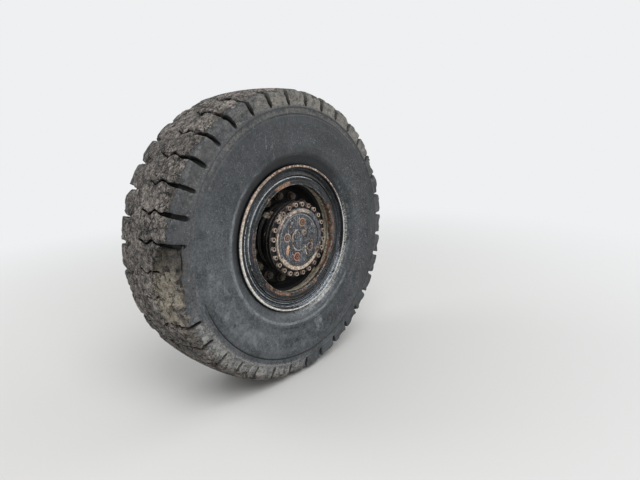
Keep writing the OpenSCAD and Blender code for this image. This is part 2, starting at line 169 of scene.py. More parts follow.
class Graph:
    """Builds the nodes of one shader tree and wires them."""

    place: Value

    def __init__(self, tree: Tree) -> None:
        """Keeps the tree and empties it."""
        self.tree = tree
        tree.nodes.clear()

    def add(self, kind: str, inputs: dict | None = None, **settings: object) -> bpy.types.Node:
        """Adds one node.

        Args:
            kind: Node type without its ShaderNode prefix.
            inputs: What goes into it, by input name or index.
            **settings: Properties of the node.

        Returns:
            The node.
        """
        node = self.tree.nodes.new("ShaderNode" + kind)
        for name, value in settings.items():
            setattr(node, name, value)
        for key, value in (inputs or {}).items():
            self.feed(node.inputs[key], value)
        return node

    def value(self, kind: str, inputs: dict | None = None, output: int | str = 0,
              **settings: object) -> Value:
        """Adds one node, as add does, and returns one of its outputs."""
        return Value(self, self.add(kind, inputs, **settings).outputs[output])

    def feed(self, socket: bpy.types.NodeSocket, value: object) -> None:
        """Links an output to a socket, or sets the socket's number."""
        if isinstance(value, Value):
            self.tree.links.new(value.socket, socket)
        else:
            socket.default_value = value

    def math(self, operation: str, *values: object) -> Value:
        """A Math node's output."""
        return self.value("Math", dict(enumerate(values)), operation=operation)

    def most(self, first: object, second: object) -> Value:
        """The larger of two values."""
        return self.math("MAXIMUM", first, second)

    def span(self, first: Value, second: Value) -> Value:
        """The length of two legs at a right angle."""
        return self.math("SQRT", first * first + second * second)

    def vector(self, operation: str, *values: object, output: str = "Vector") -> Value:
        """A Vector Math node's output."""
        return self.value("VectorMath", dict(enumerate(values)), output, operation=operation)

    def split(self) -> list[Value]:
        """X, Y and Z of the place."""
        return [Value(self, socket) for socket in self.add("SeparateXYZ", {0: self.place}).outputs]

    def step(self, value: object, low: object, high: object, down: bool = False) -> Value:
        """A soft step from 0 to 1.

        Args:
            value: What is looked at.
            low: Value up to which the step is 0.
            high: Value from which it is 1.
            down: Whether it goes from 1 to 0 instead.

        Returns:
            The step.
        """
        sockets = {"Value": value, "From Min": low, "From Max": high,
                   "To Min": float(down), "To Max": float(not down)}
        return self.value("MapRange", sockets, interpolation_type="SMOOTHSTEP")

    def mix(self, factor: object, first: object, second: object) -> Value:
        """A colour between first and second, which are values or tones."""
        ends = [end if isinstance(end, Value) else colour(end) for end in (first, second)]
        return self.value("Mix", {0: factor, 6: ends[0], 7: ends[1]}, 2, data_type="RGBA", clamp_factor=True)

    def between(self, factor: object, first: object, second: object) -> Value:
        """A number between first and second."""
        return self.value("Mix", {0: factor, 2: first, 3: second}, data_type="FLOAT", clamp_factor=True)

    def shown(self, level: Value, amount: object, scarce: float, full: float, soft: float) -> Value:
        """Where a level passes a line that an amount moves.

        Args:
            level: The level.
            amount: The amount, from 0 to 1.
            scarce: The line at an amount of 0.
            full: The line at an amount of 1.
            soft: Width of the border.

        Returns:
            The mask.
        """
        line = self.between(amount, scarce, full)
        return self.step(level, line, line + soft)

    def noise(self, scale: object, detail: float = 4.0, rough: float = 0.6, warp: float = 0.0,
              place: Value | None = None, output: int | str = 0) -> Value:
        """A noise texture.

        Args:
            scale: Its scale.
            detail: Its detail.
            rough: Its roughness.
            warp: Its distortion.
            place: Where it is read, if not at the graph's own place.
            output: The output that is taken.

        Returns:
            The noise.
        """
        sockets = {"Vector": place or self.place, "Scale": scale, "Detail": detail, "Roughness": rough,
                   "Distortion": warp}
        return self.value("TexNoise", sockets, output)

    def ramp(self, factor: Value, stops: Sequence[tuple[float, Tone]]) -> Value:
        """A colour ramp.

        Args:
            factor: Where it is read, from 0 to 1.
            stops: Its stops as (position, tone).

        Returns:
            Its colour.
        """
        node = self.add("ValToRGB", {0: factor})
        elements = node.color_ramp.elements
        while len(elements) < len(stops):
            elements.new(0.5)
        for element, (position, tone) in zip(elements, stops):
            element.position = position
            element.color = colour(tone)
        return Value(self, node.outputs[0])

    def seen(self) -> Value:
        """Where a ray comes from the camera, or from it by way of a mirror or glass."""
        rays = self.add("LightPath").outputs
        kinds = ("Is Camera Ray", "Is Glossy Ray", "Is Transmission Ray")
        camera, glossy, clear = (Value(self, rays[kind]) for kind in kinds)
        return self.most(camera, self.most(glossy, clear))


class Group(Graph):
    """A node group in the making, which takes a position and numbers."""

    def __init__(self, name: str, *inputs: str) -> None:
        """Starts the group.

        Args:
            name: Name of the group.
            *inputs: Names of its number inputs.
        """
        super().__init__(bpy.data.node_groups.new(name, "ShaderNodeTree"))
        self._socket("Position", "INPUT", "Vector")
        for label in inputs:
            self._socket(label, "INPUT", "Float")
        source = self.tree.nodes.new("NodeGroupInput")
        self.place, *self.numbers = (Value(self, socket) for socket in source.outputs[:len(inputs) + 1])

    def _socket(self, label: str, side: str, kind: str) -> None:
        """Gives the group one socket."""
        self.tree.interface.new_socket(label, in_out=side, socket_type="NodeSocket" + kind)

    def close(self, **outputs: Value) -> Tree:
        """Gives the group its outputs and returns its tree.

        Args:
            **outputs: What goes out, by the output's name.

        Returns:
            The group's tree.
        """
        sink = self.tree.nodes.new("NodeGroupOutput")
        for label, value in outputs.items():
            self._socket(label, "OUTPUT", "Color" if value.socket.type == "RGBA" else "Float")
            self.feed(sink.inputs[label], value)
        return self.tree


class Effects:
    """Shader groups that several materials share."""

    def __init__(self, lip_y: float) -> None:
        """Builds every group once.

        Args:
            lip_y: Y of the outer rim lip, from which marks count their depth.
        """
        self.lip_y = lip_y
        self.patch = self._patch()
        self.spot = self._spot()
        self.sockets = self._sockets()
        self.scratches = self._scratches()
        self.cracks = self._cracks()
        self.wear = self._wear()
        self.rust = self._rust()
        self.grain = self._grain()
        self.dust = self._dust()

    @staticmethod
    def _patch() -> Tree:
        """A broken patch on a ring: its radius, depth and direction with their half widths.

        Returns:
            The group's tree.
        """
        group = Group("ring_patch", "Radius", "Half Width", "Depth", "Half Depth", "Direction", "Spread",
                      "Breakup", "Soft", "Scale", "Lip")
        radius, half_width, depth, half_depth, direction, spread, breakup, soft, scale, lip = group.numbers
        x, y, z = group.split()
        far = group.span(x, z)
        turn = group.math("RADIANS", direction)
        cosine = (x * group.math("COSINE", turn) + z * group.math("SINE", turn)) / group.most(far, 0.001)
        angle = group.math("DEGREES", group.math("ARCCOSINE", group.math("MINIMUM", cosine, 1.0)))
        cloud = group.noise(scale, 6.0, 0.65, 0.6)
        speck = group.noise(scale * 5.0, 3.0)
        ring = group.step(abs(far - radius) / half_width + (cloud - 0.5) * 1.5, 0.72 - soft, 1.05, down=True)
        band = group.step(abs(y - lip - depth) / half_depth, 0.6, 1.0, down=True)
        arc = group.step(angle / spread, 0.3, 1.0, down=True)
        shape = ring * band * arc
        level = cloud * 0.62 + speck * 0.38 + (shape - 1.0) * 0.5
        mask = group.step(level, breakup, breakup + soft)
        return group.close(Mask=mask * group.step(shape, 0.0, 0.12 + soft))

    @staticmethod
    def _spot() -> Tree:
        """A broken round mark, or a ring, about a point of the wheel's face.

        Returns:
            The group's tree.
        """
        group = Group("spot", "X", "Z", "Inner", "Outer", "Breakup", "Scale")
        middle_x, middle_z, inner, outer, breakup, scale = group.numbers
        x, _, z = group.split()
        cloud = group.noise(scale, 5.0, 0.65, 0.5)
        far = group.span(x - middle_x, z - middle_z) + (cloud - 0.5) * 0.006
        inside = group.step(far, inner - 0.0015, inner)
        outside = group.step(far, outer, outer + 0.0015, down=True)
        return group.close(Mask=group.step(cloud, breakup, breakup + 0.1) * (inside * outside))

    @staticmethod
    def _sockets() -> Tree:
        """The key sockets in a circle of screws round the wheel axis.

        Returns:
            The group's tree.
        """
        group = Group("sockets", "Radius", "Count", "Phase", "Hole")
        radius, count, phase, hole = group.numbers
        x, _, z = group.split()
        turn = (group.math("DEGREES", group.math("ARCTAN2", z, x)) - phase) * (count / 360.0)
        share = group.math("FRACT", turn + 0.5) - 0.5
        pitch = radius * (2 * math.pi) / count
        far = group.span(share * pitch, group.span(x, z) - radius)
        return group.close(Mask=group.step(far, hole - 0.0006, hole, down=True))

    @staticmethod
    def _scratches() -> Tree:
        """Hair-thin scratches that run two ways and come in patches.

        Returns:
            The group's tree.
        """
        group = Group("scratches", "Scale", "Width", "Amount")
        scale, width, amount = group.numbers
        lines = []
        for turn in (0.7, -1.1):
            slanted = group.value("Mapping", {"Vector": group.place, "Rotation": (0.0, turn, 0.0),
                                              "Scale": (1.0, 1.0, 0.16)})
            cloud = group.noise(scale, 2.0, 0.5, 0.15, place=slanted)
            lines.append(group.step(abs(cloud - 0.5), 0.0, width, down=True))
        gate = group.noise(scale * 1.7)
        return group.close(Mask=group.most(*lines) * group.shown(gate, amount, 0.72, 0.34, 0.1))

    @staticmethod
    def _cracks() -> Tree:
        """Crooked cracks between lumps of weathered rubber.

        Returns:
            The group's tree.
        """
        group = Group("cracks", "Scale", "Width", "Amount")
        scale, width, amount = group.numbers
        drift = group.vector("SUBTRACT", group.noise(scale * 1.6, output="Color"), (0.5, 0.5, 0.5))
        drift = group.value("VectorMath", {0: drift, "Scale": 0.55 / scale}, operation="SCALE")
        crooked = group.vector("ADD", group.place, drift)
        seam = group.value("TexVoronoi", {"Vector": crooked, "Scale": scale}, "Distance",
                           feature="DISTANCE_TO_EDGE")
        shown = group.shown(group.noise(scale * 0.6), amount, 0.7, 0.3, 0.12)
        return group.close(Mask=group.step(seam, 0.0, width, down=True) * shown)

    @staticmethod
    def _wear() -> Tree:
        """Where edges are rubbed bare, broken up by noise.

        Returns:
            The group's tree.
        """
        group = Group("edge_wear", "Width", "Amount", "Scale")
        width, amount, scale = group.numbers
        bevel = group.value("Bevel", {"Radius": width}, samples=6)
        flat = group.value("NewGeometry", output="Normal")
        edge = group.step(1.0 - group.vector("DOT_PRODUCT", bevel, flat, output="Value"), 0.01, 0.14)
        level = group.noise(scale, 5.0, 0.65) * 0.8 + amount * 0.6
        return group.close(Mask=edge * group.step(level, 0.55, 0.72))

    @staticmethod
    def _rust() -> Tree:
        """Rust: where it lies, its colour and how proud it stands.

        Returns:
            The group's tree.
        """
        group = Group("rust", "Scale", "Amount")
        scale, amount = group.numbers
        broad = group.noise(scale, 6.0, 0.62, 0.5)
        fine = group.noise(scale * 9.0)
        mask = group.shown(broad + (fine - 0.5) * 0.25, amount, 0.78, 0.3, 0.09)
        tone = group.ramp(broad * 0.5 + fine * 0.5, (
            (0.3, (44, 34, 30)), (0.44, (78, 58, 47)), (0.55, (116, 88, 70)), (0.7, (160, 134, 114))))
        return group.close(Mask=mask, Colour=tone, Height=mask * fine)

    @staticmethod
    def _grain() -> Tree:
        """A rough cast or torn surface: coarse lumps with fine pits.

        Returns:
            The group's tree.
        """
        group = Group("grain", "Scale", "Pits")
        scale, depth = group.numbers
        lumps = group.noise(scale, 5.0)
        cells = group.value("TexVoronoi", {"Vector": group.place, "Scale": scale * 1.7}, "Distance")
        pits = group.step(cells, 0.1, 0.45, down=True) * depth
        return group.close(Height=lumps - pits, Tone=lumps - pits * 0.5)

    @staticmethod
    def _dust() -> Tree:
        """Dry dirt that clouds over a surface.

        Returns:
            The group's tree.
        """
        group = Group("dust", "Scale", "Amount")
        scale, amount = group.numbers
        broad = group.noise(scale, 6.0, 0.6, 0.3)
        speck = group.noise(scale * 14.0, 3.0)
        return group.close(Mask=group.shown(broad * 0.75 + speck * 0.25, amount, 0.72, 0.28, 0.3))


@dataclass(frozen=True)
class Patch:
    """A local mark on a ring of the wheel. The inputs of its group have its fields' names."""

    radius: float
    half_width: float
    tone: Tone
    depth: float
    half_depth: float
    direction: float
    spread: float
    breakup: float
    scale: float = 30.0
    soft: float = 0.08
    metallic: float = 0.0
    mottle: float = 0.62


@dataclass(frozen=True)
class Spot:
    """A round mark or a ring on the wheel's face."""

    radius: float
    direction: float
    inner: float
    outer: float
    tone: Tone
    breakup: float
    scale: float = 90.0
    metallic: float = 0.0
    mottle: float = 0.62

    @property
    def x(self) -> float:
        """X of its middle."""
        return self.radius * math.cos(math.radians(self.direction))

    @property
    def z(self) -> float:
        """Z of its middle."""
        return self.radius * math.sin(math.radians(self.direction))


@dataclass(frozen=True)
class Sockets:
    """Key sockets in a circle of screws, painted dark as the shade in their recesses."""

    radius: float
    phase: float
    count: int
    hole: float


class Shader(Graph):
    """One material in the making, with its surface and its place on Object coordinates."""

    def __init__(self, name: str, effects: Effects) -> None:
        """Starts the material.

        Args:
            name: Name of the material.
            effects: The shared groups.
        """
        self.effects = effects
        self.material = bpy.data.materials.new(name)
        self.material.use_nodes = True
        super().__init__(self.material.node_tree)
        self.surface = self.add("BsdfPrincipled")
        self.add("OutputMaterial", {"Surface": Value(self, self.surface.outputs[0])})
        self.place = self.value("TexCoord", output="Object")

    def group(self, tree: Tree, mark: object = None, **inputs: object) -> dict[str, Value]:
        """Places a shared group.

        Args:
            tree: The group.
            mark: What gives each input that has the name of one of its fields.
            **inputs: The other inputs.

        Returns:
            The group's outputs by name.
        """
        node = self.add("Group", node_tree=tree)
        inputs["position"] = self.place
        for socket in node.inputs:
            name = socket.name.lower().replace(" ", "_")
            self.feed(socket, inputs[name] if name in inputs else getattr(mark, name))
        return {socket.name: Value(self, socket) for socket in node.outputs}

    def mask(self, mark: Patch | Spot | Sockets) -> Value:
        """The mask of a local mark."""
        effects = self.effects
        tree = {Patch: effects.patch, Spot: effects.spot, Sockets: effects.sockets}[type(mark)]
        return self.group(tree, mark, lip=effects.lip_y)["Mask"]

    def finish(self, base: Value, rough: object, metal: object, height: Value, bump: float,
               distance: float) -> Material:
        """Wires the surface.

        Args:
            base: Base colour.
            rough: Roughness.
            metal: Metallic.
            height: Height for the bump.
            bump: Strength of the bump.
            distance: Depth that the height stands for.

        Returns:
            The material.
        """
        relief = self.value("Bump", {"Strength": bump, "Distance": distance, "Height": height})
        wires = {"Base Color": base, "Roughness": rough, "Metallic": metal, "Normal": relief}
        for label, value in wires.items():
            self.feed(self.surface.inputs[label], value)
        return self.material


# Depth and half depth of the places on the tyre where marks lie.
BEAD: Zone = (0.000, 0.06)
WALL: Zone = (-0.015, 0.03)
LUG_FOOT: Zone = (-0.010, 0.05)
SHOULDER: Zone = (0.000, 0.07)

TYRE_LAYERS = ("tread", "slot", "torn", "ridge")


@dataclass(frozen=True)
class RubberFinish:
    """Old tyre rubber: scuffed grey flanks, a crumbled brown tread and torn faces."""

    flank: Tone = (47, 52, 56)
    flank_pale: Tone = (79, 83, 87)
    # painted shade for the top of the flank
    flank_top_shade: Tone = (35, 37, 39)
    # dark blotches, and painted shade on the right of the flank
    flank_dark: Tone = (26, 28, 30)
    dust: Tone = (132, 134, 134)
    tread_tones: tuple[tuple[float, Tone], ...] = (
        (0.385, (18, 17, 17)), (0.455, (58, 56, 54)), (0.53, (90, 86, 82)), (0.60, (117, 111, 106)),
        (0.69, (160, 152, 146)))
    torn_tones: tuple[tuple[float, Tone], ...] = (
        (0.40, (30, 28, 27)), (0.48, (86, 82, 75)), (0.56, (156, 148, 135)))
    torn_shade: Tone = (24, 23, 22)
    # painted shade on the inner wall of a tear
    torn_foot_shade: Tone = (58, 56, 57)
    # painted shade in the cracks and on the slot floors
    crevice_shade: Tone = (14, 14, 14)
    sheen: float = 0.35
    relief: float = 0.006
    marks: tuple[Patch, ...] = (
        # painted shade on the bevel next to the rim lip, darkest at the top where it faces down
        Patch(0.3870, 0.0420, (30, 32, 34), -0.005, 0.06, 88, 190, 0.16, 90, 0.30),
        # painted shadow in the gap between the tyre and the rim lip on the left
        Patch(0.3735, 0.0060, (8, 8, 8), 0.016, 0.06, 178, 150, 0.28, 60, 0.15),
        # painted shade in the narrow channel at the shoulder
        Patch(0.6090, 0.0042, (16, 16, 17), *WALL, -22, 205, 0.24, 20),
        Patch(0.3950, 0.0360, (142, 147, 150), *BEAD, -62, 88, 0.38, 22, 0.35),
        Patch(0.3880, 0.0200, (222, 223, 222), *BEAD, -64, 24, 0.42, 60, 0.22),
        Patch(0.4040, 0.0220, (118, 126, 130), *BEAD, 4, 84, 0.42, 50, 0.30),
        Patch(0.3830, 0.0200, (196, 196, 192), *BEAD, -34, 124, 0.470, 130, 0.10),
        Patch(0.4900, 0.0800, (148, 153, 157), *WALL, -78.5, 7, 0.39, 60, 0.22),
        Patch(0.5000, 0.1300, (150, 154, 157), *WALL, 0, 110, 0.545, 120, 0.08),
        # painted highlight on the bulge near the bead, and painted shade in the fold beside it
        Patch(0.4300, 0.0130, (134, 139, 143), -0.010, 0.03, -120, 170, 0.34, 14, 0.35),
        Patch(0.4540, 0.0120, (26, 28, 31), *WALL, -66, 130, 0.34, 14, 0.35),
        Patch(0.4380, 0.0130, (134, 139, 143), *WALL, 178, 110, 0.38, 14, 0.35),
        Patch(0.5300, 0.0900, (118, 123, 128), *WALL, -130, 120, 0.41, 9, 0.30),
        Patch(0.5300, 0.0900, (28, 32, 37), *WALL, -40, 150, 0.41, 10, 0.30),
        Patch(0.5200, 0.1100, (154, 158, 160), *WALL, 0, 600, 0.585, 150, 0.06),
        Patch(0.5200, 0.1100, (20, 21, 23), *WALL, 0, 600, 0.560, 110, 0.10),
        Patch(0.6700, 0.0600, (158, 156, 152), 0.000, 0.06, -126, 72, 0.37, 40, 0.24),
        Patch(0.7120, 0.0300, (112, 107, 100), *SHOULDER, -130, 80, 0.36, 44, 0.20),
        Patch(0.6950, 0.0520, (30, 29, 28), *SHOULDER, -124, 110, 0.50, 60, 0.12),
        Patch(0.6850, 0.0500, (176, 171, 162), *SHOULDER, -128, 90, 0.535, 80, 0.10),
        Patch(0.6450, 0.0300, (30, 29, 29), *LUG_FOOT, 178, 60, 0.50, 60, 0.12),
        Patch(0.6300, 0.0160, (112, 111, 112), -0.010, 0.03, 175, 120, 0.44, 40, 0.25),
        Patch(0.6520, 0.0200, (97, 95, 96), *LUG_FOOT, -177, 30, 0.40, 110, 0.26),
        Patch(0.6560, 0.0120, (28, 27, 27), *LUG_FOOT, -176, 30, 0.50, 90, 0.12),
        # painted shade in the narrow channel at the shoulder, lower left
        Patch(0.6090, 0.0040, (22, 22, 23), *WALL, -126, 64, 0.30, 24, 0.12),
        Patch(0.6850, 0.0600, (122, 118, 110), *SHOULDER, 70, 84, 0.38, 40, 0.20),
        Patch(0.6850, 0.0600, (104, 103, 101), *SHOULDER, 128, 70, 0.47, 60, 0.12),
        Patch(0.6780, 0.0560, (64, 63, 62), *SHOULDER, 156, 66, 0.38, 26, 0.30),
        Patch(0.6560, 0.0300, (134, 130, 126), -0.005, 0.05, 160, 70, 0.545, 90, 0.10),
        Patch(0.6260, 0.0220, (116, 113, 107), -0.010, 0.04, 90, 120, 0.40, 34, 0.28),
        Patch(0.6800, 0.0480, (140, 133, 122), *SHOULDER, 70, 130, 0.51, 46, 0.16),
        Patch(0.6850, 0.0460, (16, 16, 16), *SHOULDER, 66, 180, 0.53, 60, 0.10),
        Patch(0.5500, 0.1700, (112, 105, 95), 0.440, 0.05, -90, 420, 0.47, 12, 0.28),
        Patch(0.3950, 0.0400, (28, 29, 31), 0.430, 0.05, 0, 600, 0.30, 60, 0.30),
    )

    def material(self, effects: Effects) -> Material:
        """Builds the material, which reads the tyre's tread, slot, torn and ridge attributes; slot and ridge
        carry painted shade.

        Args:
            effects: The shared groups.

        Returns:
            The material.
        """
        shader = Shader("tyre_rubber", effects)
        tread, slot, torn, ridge = (
            shader.value("Attribute", output="Fac", attribute_name=name) for name in TYRE_LAYERS)
        _, y, z = shader.split()
        broad = shader.noise(6.0, 5.0, 0.62, 0.5)
        cloud = shader.noise(30.0, 6.0, 0.66, 0.3)
        lumps = shader.group(effects.grain, scale=48.0, pits=0.45)
        pits = shader.group(effects.grain, scale=190.0, pits=0.7)
        cracks = shader.most(*(shader.group(effects.cracks, scale=scale, width=width, amount=0.55)["Mask"]
                               for scale, width in ((27.0, 0.13), (13.0, 0.06))))
        border = shader.step(tread + (cloud - 0.5) * 2.6, 0.42, 0.58)
        crumbled = shader.most(border, shader.step(tread, 0.8, 1.0))
        middle = shader.step(y - effects.lip_y, 0.06, 0.20)
        # painted shade: the lower part of the tread darkens towards the floor
        low_shade = shader.step(z, -0.64, -0.16, down=True) * shader.between(middle, 0.4, 1.0)
        tone = lumps["Tone"] * 0.58 + (pits["Tone"] * 0.40 + broad * 0.40)
        tone = tone - 0.115 - (middle * 0.020 + low_shade * 0.040)
        base = shader.mix(crumbled, self._flank(shader, broad, cloud), shader.ramp(tone, self.tread_tones))
        base = shader.mix(torn, base, self._torn(shader, cloud, pits["Tone"]))
        worn = shader.most(crumbled, torn)
        seams = cracks * (worn * shader.between(torn, 1.0, 0.35))
        # painted shade in the cracks of the worn rubber
        base = shader.mix(seams * 0.9, base, self.crevice_shade)
        # painted shade along the folds of the tears
        base = shader.mix(ridge * 0.75, base, self.torn_shade)
        # painted shade on the floors of the slots
        base = shader.mix(slot, base, self.crevice_shade)
        height = (lumps["Height"] + cloud - seams) * worn + pits["Height"] * shader.between(worn, 0.05, 0.4)
        shader.surface.inputs["Specular IOR Level"].default_value = self.sheen
        return shader.finish(base, shader.between(crumbled, 0.6, 0.92), 0.0, height, 1.0, self.relief)

    def _torn(self, shader: Shader, cloud: Value, pits: Value) -> Value:
        """Colours the torn faces, with painted shade under the lug that hangs over them and on their wall
        near the lug's foot.

        Args:
            shader: The material.
            cloud: A middling noise.
            pits: A fine grain.

        Returns:
            The colour.
        """
        high = shader.split()[2]
        base = shader.ramp(cloud * 0.75 + pits * 0.35, self.torn_tones)
        drift = (cloud - 0.5) * 0.16
        # painted shade under the lug that hangs over the tear
        base = shader.mix(shader.step(high + drift, -0.04, 0.07) * 0.76, base, self.torn_shade)
        flat = shader.vector("MULTIPLY", shader.place, (1.0, 0.0, 1.0))
        far = shader.vector("LENGTH", flat, output="Value")
        # painted shade on the inner wall of the tear, near the lug's foot
        near = shader.step(far + drift * 0.5, 0.668, 0.694, down=True)
        return shader.mix(near * 0.62, base, self.torn_foot_shade)

    def _flank(self, shader: Shader, broad: Value, cloud: Value) -> Value:
        """Colours the flank with its dust, scuffs and scratches, and with painted shade on its top and its
        right side.

        Args:
            shader: The material.
            broad: A broad noise.
            cloud: A middling noise.

        Returns:
            The colour.
        """
        effects = shader.effects
        x, _, z = shader.split()
        speck = shader.step(shader.noise(130.0, 4.0, 0.75), 0.42, 0.66)
        blot = shader.step(shader.noise(85.0, 5.0, 0.75, 0.4), 0.50, 0.64)
        dust = shader.group(effects.dust, scale=8.0, amount=0.35)["Mask"]
        low = shader.step(z, -0.65, -0.10, down=True)
        layers = [
            (speck * 0.27, self.dust),
            (blot * 0.34, self.flank_dark),
            # painted shade: the flank darkens towards its top
            (shader.step(z, -0.1, 0.6) * 0.62, self.flank_top_shade),
            # painted shade: the flank darkens towards its right side, away from the light
            (shader.step(x, 0.0, 0.55) * 0.42, self.flank_dark),
            # dust that thickens towards the bottom, which is also painted light that brightens the lower
            # flank
            (dust * shader.between(low, 0.08, 0.60), self.dust),
        ]
        for scale, strength in ((15.0, 0.42), (46.0, 0.35)):
            scratch = shader.group(effects.scratches, scale=scale, width=0.007, amount=0.55)["Mask"]
            layers.append((scratch * strength, self.dust))
        layers += [(shader.mask(mark) * 0.85, mark.tone) for mark in self.marks]
        base = shader.mix(shader.step(broad * 0.6 + cloud * 0.4, 0.38, 0.62), self.flank, self.flank_pale)
        for mask, tone in layers:
            base = shader.mix(mask, base, tone)
        return base


@dataclass(frozen=True)
class PaintFinish:
    """Old paint on steel, with dust, rust, bare edges and local marks."""

    name: str
    paint: Tone
    faded: Tone
    edge: Tone = (150, 146, 140)
    dust: Tone = (112, 106, 94)
    dust_amount: float = 0.35
    rust_amount: float = 0.25
    rust_scale: float = 20.0
    edge_amount: float = 0.5
    edge_width: float = 0.002
    rough: float = 0.5
    grain_scale: float = 260.0
    relief: float = 0.0015
    scratched: float = 0.3
    scratch: Tone = (128, 130, 132)
    speckled: float = 0.0
    sheen: float = 0.5
    stain: Tone = (54, 44, 38)
    marks: tuple[Patch | Spot, ...] = ()

    def material(self, effects: Effects) -> Material:
        """Builds the material.

        Args:
            effects: The shared groups.

        Returns:
            The material.
        """
        shader = Shader(self.name, effects)
        rust = shader.group(effects.rust, scale=self.rust_scale, amount=self.rust_amount)
        dust = shader.group(effects.dust, scale=9.0, amount=self.dust_amount)["Mask"]
        wear = shader.group(effects.wear, width=self.edge_width, amount=self.edge_amount, scale=60.0)["Mask"]
        grain = shader.group(effects.grain, scale=self.grain_scale, pits=0.4)
        base = shader.mix(shader.step(shader.noise(14.0, 6.0, 0.62, 0.3), 0.38, 0.66), self.paint, self.faded)
        base = shader.mix(dust * 0.75, base, self.dust)
        base = shader.mix(rust["Mask"], base, rust["Colour"])
        base = shader.mix(wear, base, self.edge)
        metal = wear * 0.55
        rough = shader.most(shader.between(dust, self.rough, 0.9), shader.between(rust["Mask"], 0.0, 0.92))
        rough = shader.between(wear, rough, 0.42)
        if self.scratched > 0:
            scratch = shader.group(effects.scratches, scale=42.0, width=0.011, amount=self.scratched)["Mask"]
            base = shader.mix(scratch * 0.75, base, self.scratch)
        if self.speckled > 0:
            speck = shader.step(shader.noise(230.0, 3.0), 0.60, 0.68)
            base = shader.mix(speck * self.speckled, base, self.scratch)
        blotch = shader.step(shader.noise(95.0, 5.0, 0.7), 0.40, 0.60)
        for mark in self.marks:
            mask = shader.mask(mark)
            stained = shader.mix(mark.mottle, mark.tone, self.stain)
            base = shader.mix(mask, base, shader.mix(blotch, stained, mark.tone))
            metal = shader.between(mask, metal, mark.metallic)
            rough = shader.between(mask, rough, 0.38 if mark.metallic else 0.9)
        shader.surface.inputs["Specular IOR Level"].default_value = self.sheen
        return shader.finish(base, rough, metal, grain["Height"] * 0.4 + rust["Height"], 0.35, self.relief)


@dataclass(frozen=True)
class SteelFinish:
    """Bare steel, from bright and machined to brown with rust."""

    name: str
    steel: Tone
    dark: Tone
    rust_amount: float
    rough: float
    metallic: float
    edge: Tone = (176, 166, 152)
    edge_amount: float = 0.5
    edge_width: float = 0.0015
    grain_scale: float = 380.0
    relief: float = 0.001
    # painted shade in the key sockets
    socket_shade: Tone = (12, 10, 9)
    sockets: tuple[Sockets, ...] = ()

    def material(self, effects: Effects) -> Material:
        """Builds the material.

        Args:
            effects: The shared groups.

        Returns:
            The material.
        """
        shader = Shader(self.name, effects)
        rust = shader.group(effects.rust, scale=34.0, amount=self.rust_amount)
        wear = shader.group(effects.wear, width=self.edge_width, amount=self.edge_amount, scale=110.0)["Mask"]
        grain = shader.group(effects.grain, scale=self.grain_scale, pits=0.5)
        base = shader.mix(shader.step(shader.noise(45.0, 5.0, 0.6, 0.2), 0.36, 0.62), self.dark, self.steel)
        base = shader.mix(rust["Mask"], base, rust["Colour"])
        base = shader.mix(wear, base, self.edge)
        metal = (1.0 - rust["Mask"]) * self.metallic
        rough = shader.between(rust["Mask"], self.rough, 0.9)
        for circle in self.sockets:
            hole = shader.mask(circle)
            # painted shade in the key sockets
            base = shader.mix(hole, base, self.socket_shade)
            metal = shader.between(hole, metal, 0.0)
        return shader.finish(base, rough, metal, grain["Height"] * 0.3 + rust["Height"], 0.4, self.relief)


@dataclass
class Row:
    """One point of the tyre's section, which becomes a ring of vertices."""

    surface: Point
    floor: Point
    scoop: Point
    inward: Point
    slot_depth: float
    half_width: float
    drift: float
    tread: float
    crumbled: float
    share: float


@dataclass(frozen=True)
class Tear:
    """A piece torn out of the outer shoulder.

    The angles are degrees and the start and end are shares of the way from the lug's foot to the
    end of the tread cut.
    """

    first: float
    last: float
    start: float
    end: float
    strength: float
    slope: float = 0.0


def toward(a: Point, b: Point, part: float) -> Point:
    """The point that lies a part of the way from a to b."""
    return a[0] + (b[0] - a[0]) * part, a[1] + (b[1] - a[1]) * part


def polyline_at(points: Sequence[Point], share: float) -> Point:
    """Point on a polyline.

    Args:
        points: Its corners.
        share: Share of its length, from 0 to 1.

    Returns:
        The point.
    """
    legs = [(a, b, math.dist(a, b)) for a, b in zip(points, points[1:])]
    left = share * sum(length for *_, length in legs)
    for a, b, length in legs:
        if left <= length:
            return toward(a, b, left / length)
        left -= length
    return points[-1]


def table_at(table: Sequence[Point], key: float) -> float:
    """Value of a table, straight between its rows.

    Args:
        table: Its rows as (key, value).
        key: Where it is read.

    Returns:
        The value.
    """
    if key <= table[0][0]:
        return table[0][1]
    for (low, first), (high, second) in zip(table, table[1:]):
        if key <= high:
            return first + (second - first) * (key - low) / (high - low)
    return table[-1][1]


def bevelled(corners: Sequence[Point], reach: float, least: float = 28.0) -> list[Point]:
    """Bevels the sharper corners of a closed outline.

    Args:
        corners: Its corners in order.
        reach: How far from a corner its bevel starts.
        least: Degrees of the bend from which a corner is bevelled.

    Returns:
        The bevelled outline.
    """
    made: list[Point] = []
    for index, corner in enumerate(corners):
        before, after = corners[index - 1], corners[(index + 1) % len(corners)]
        bend = (Vector(corner) - Vector(before)).angle(Vector(after) - Vector(corner), 0.0)
        if bend < math.radians(least):
            made.append(corner)
            continue
        for other in (before, after):
            length = math.dist(corner, other)
            made.append(toward(corner, other, min(reach, length * 0.45) / length))
    return made


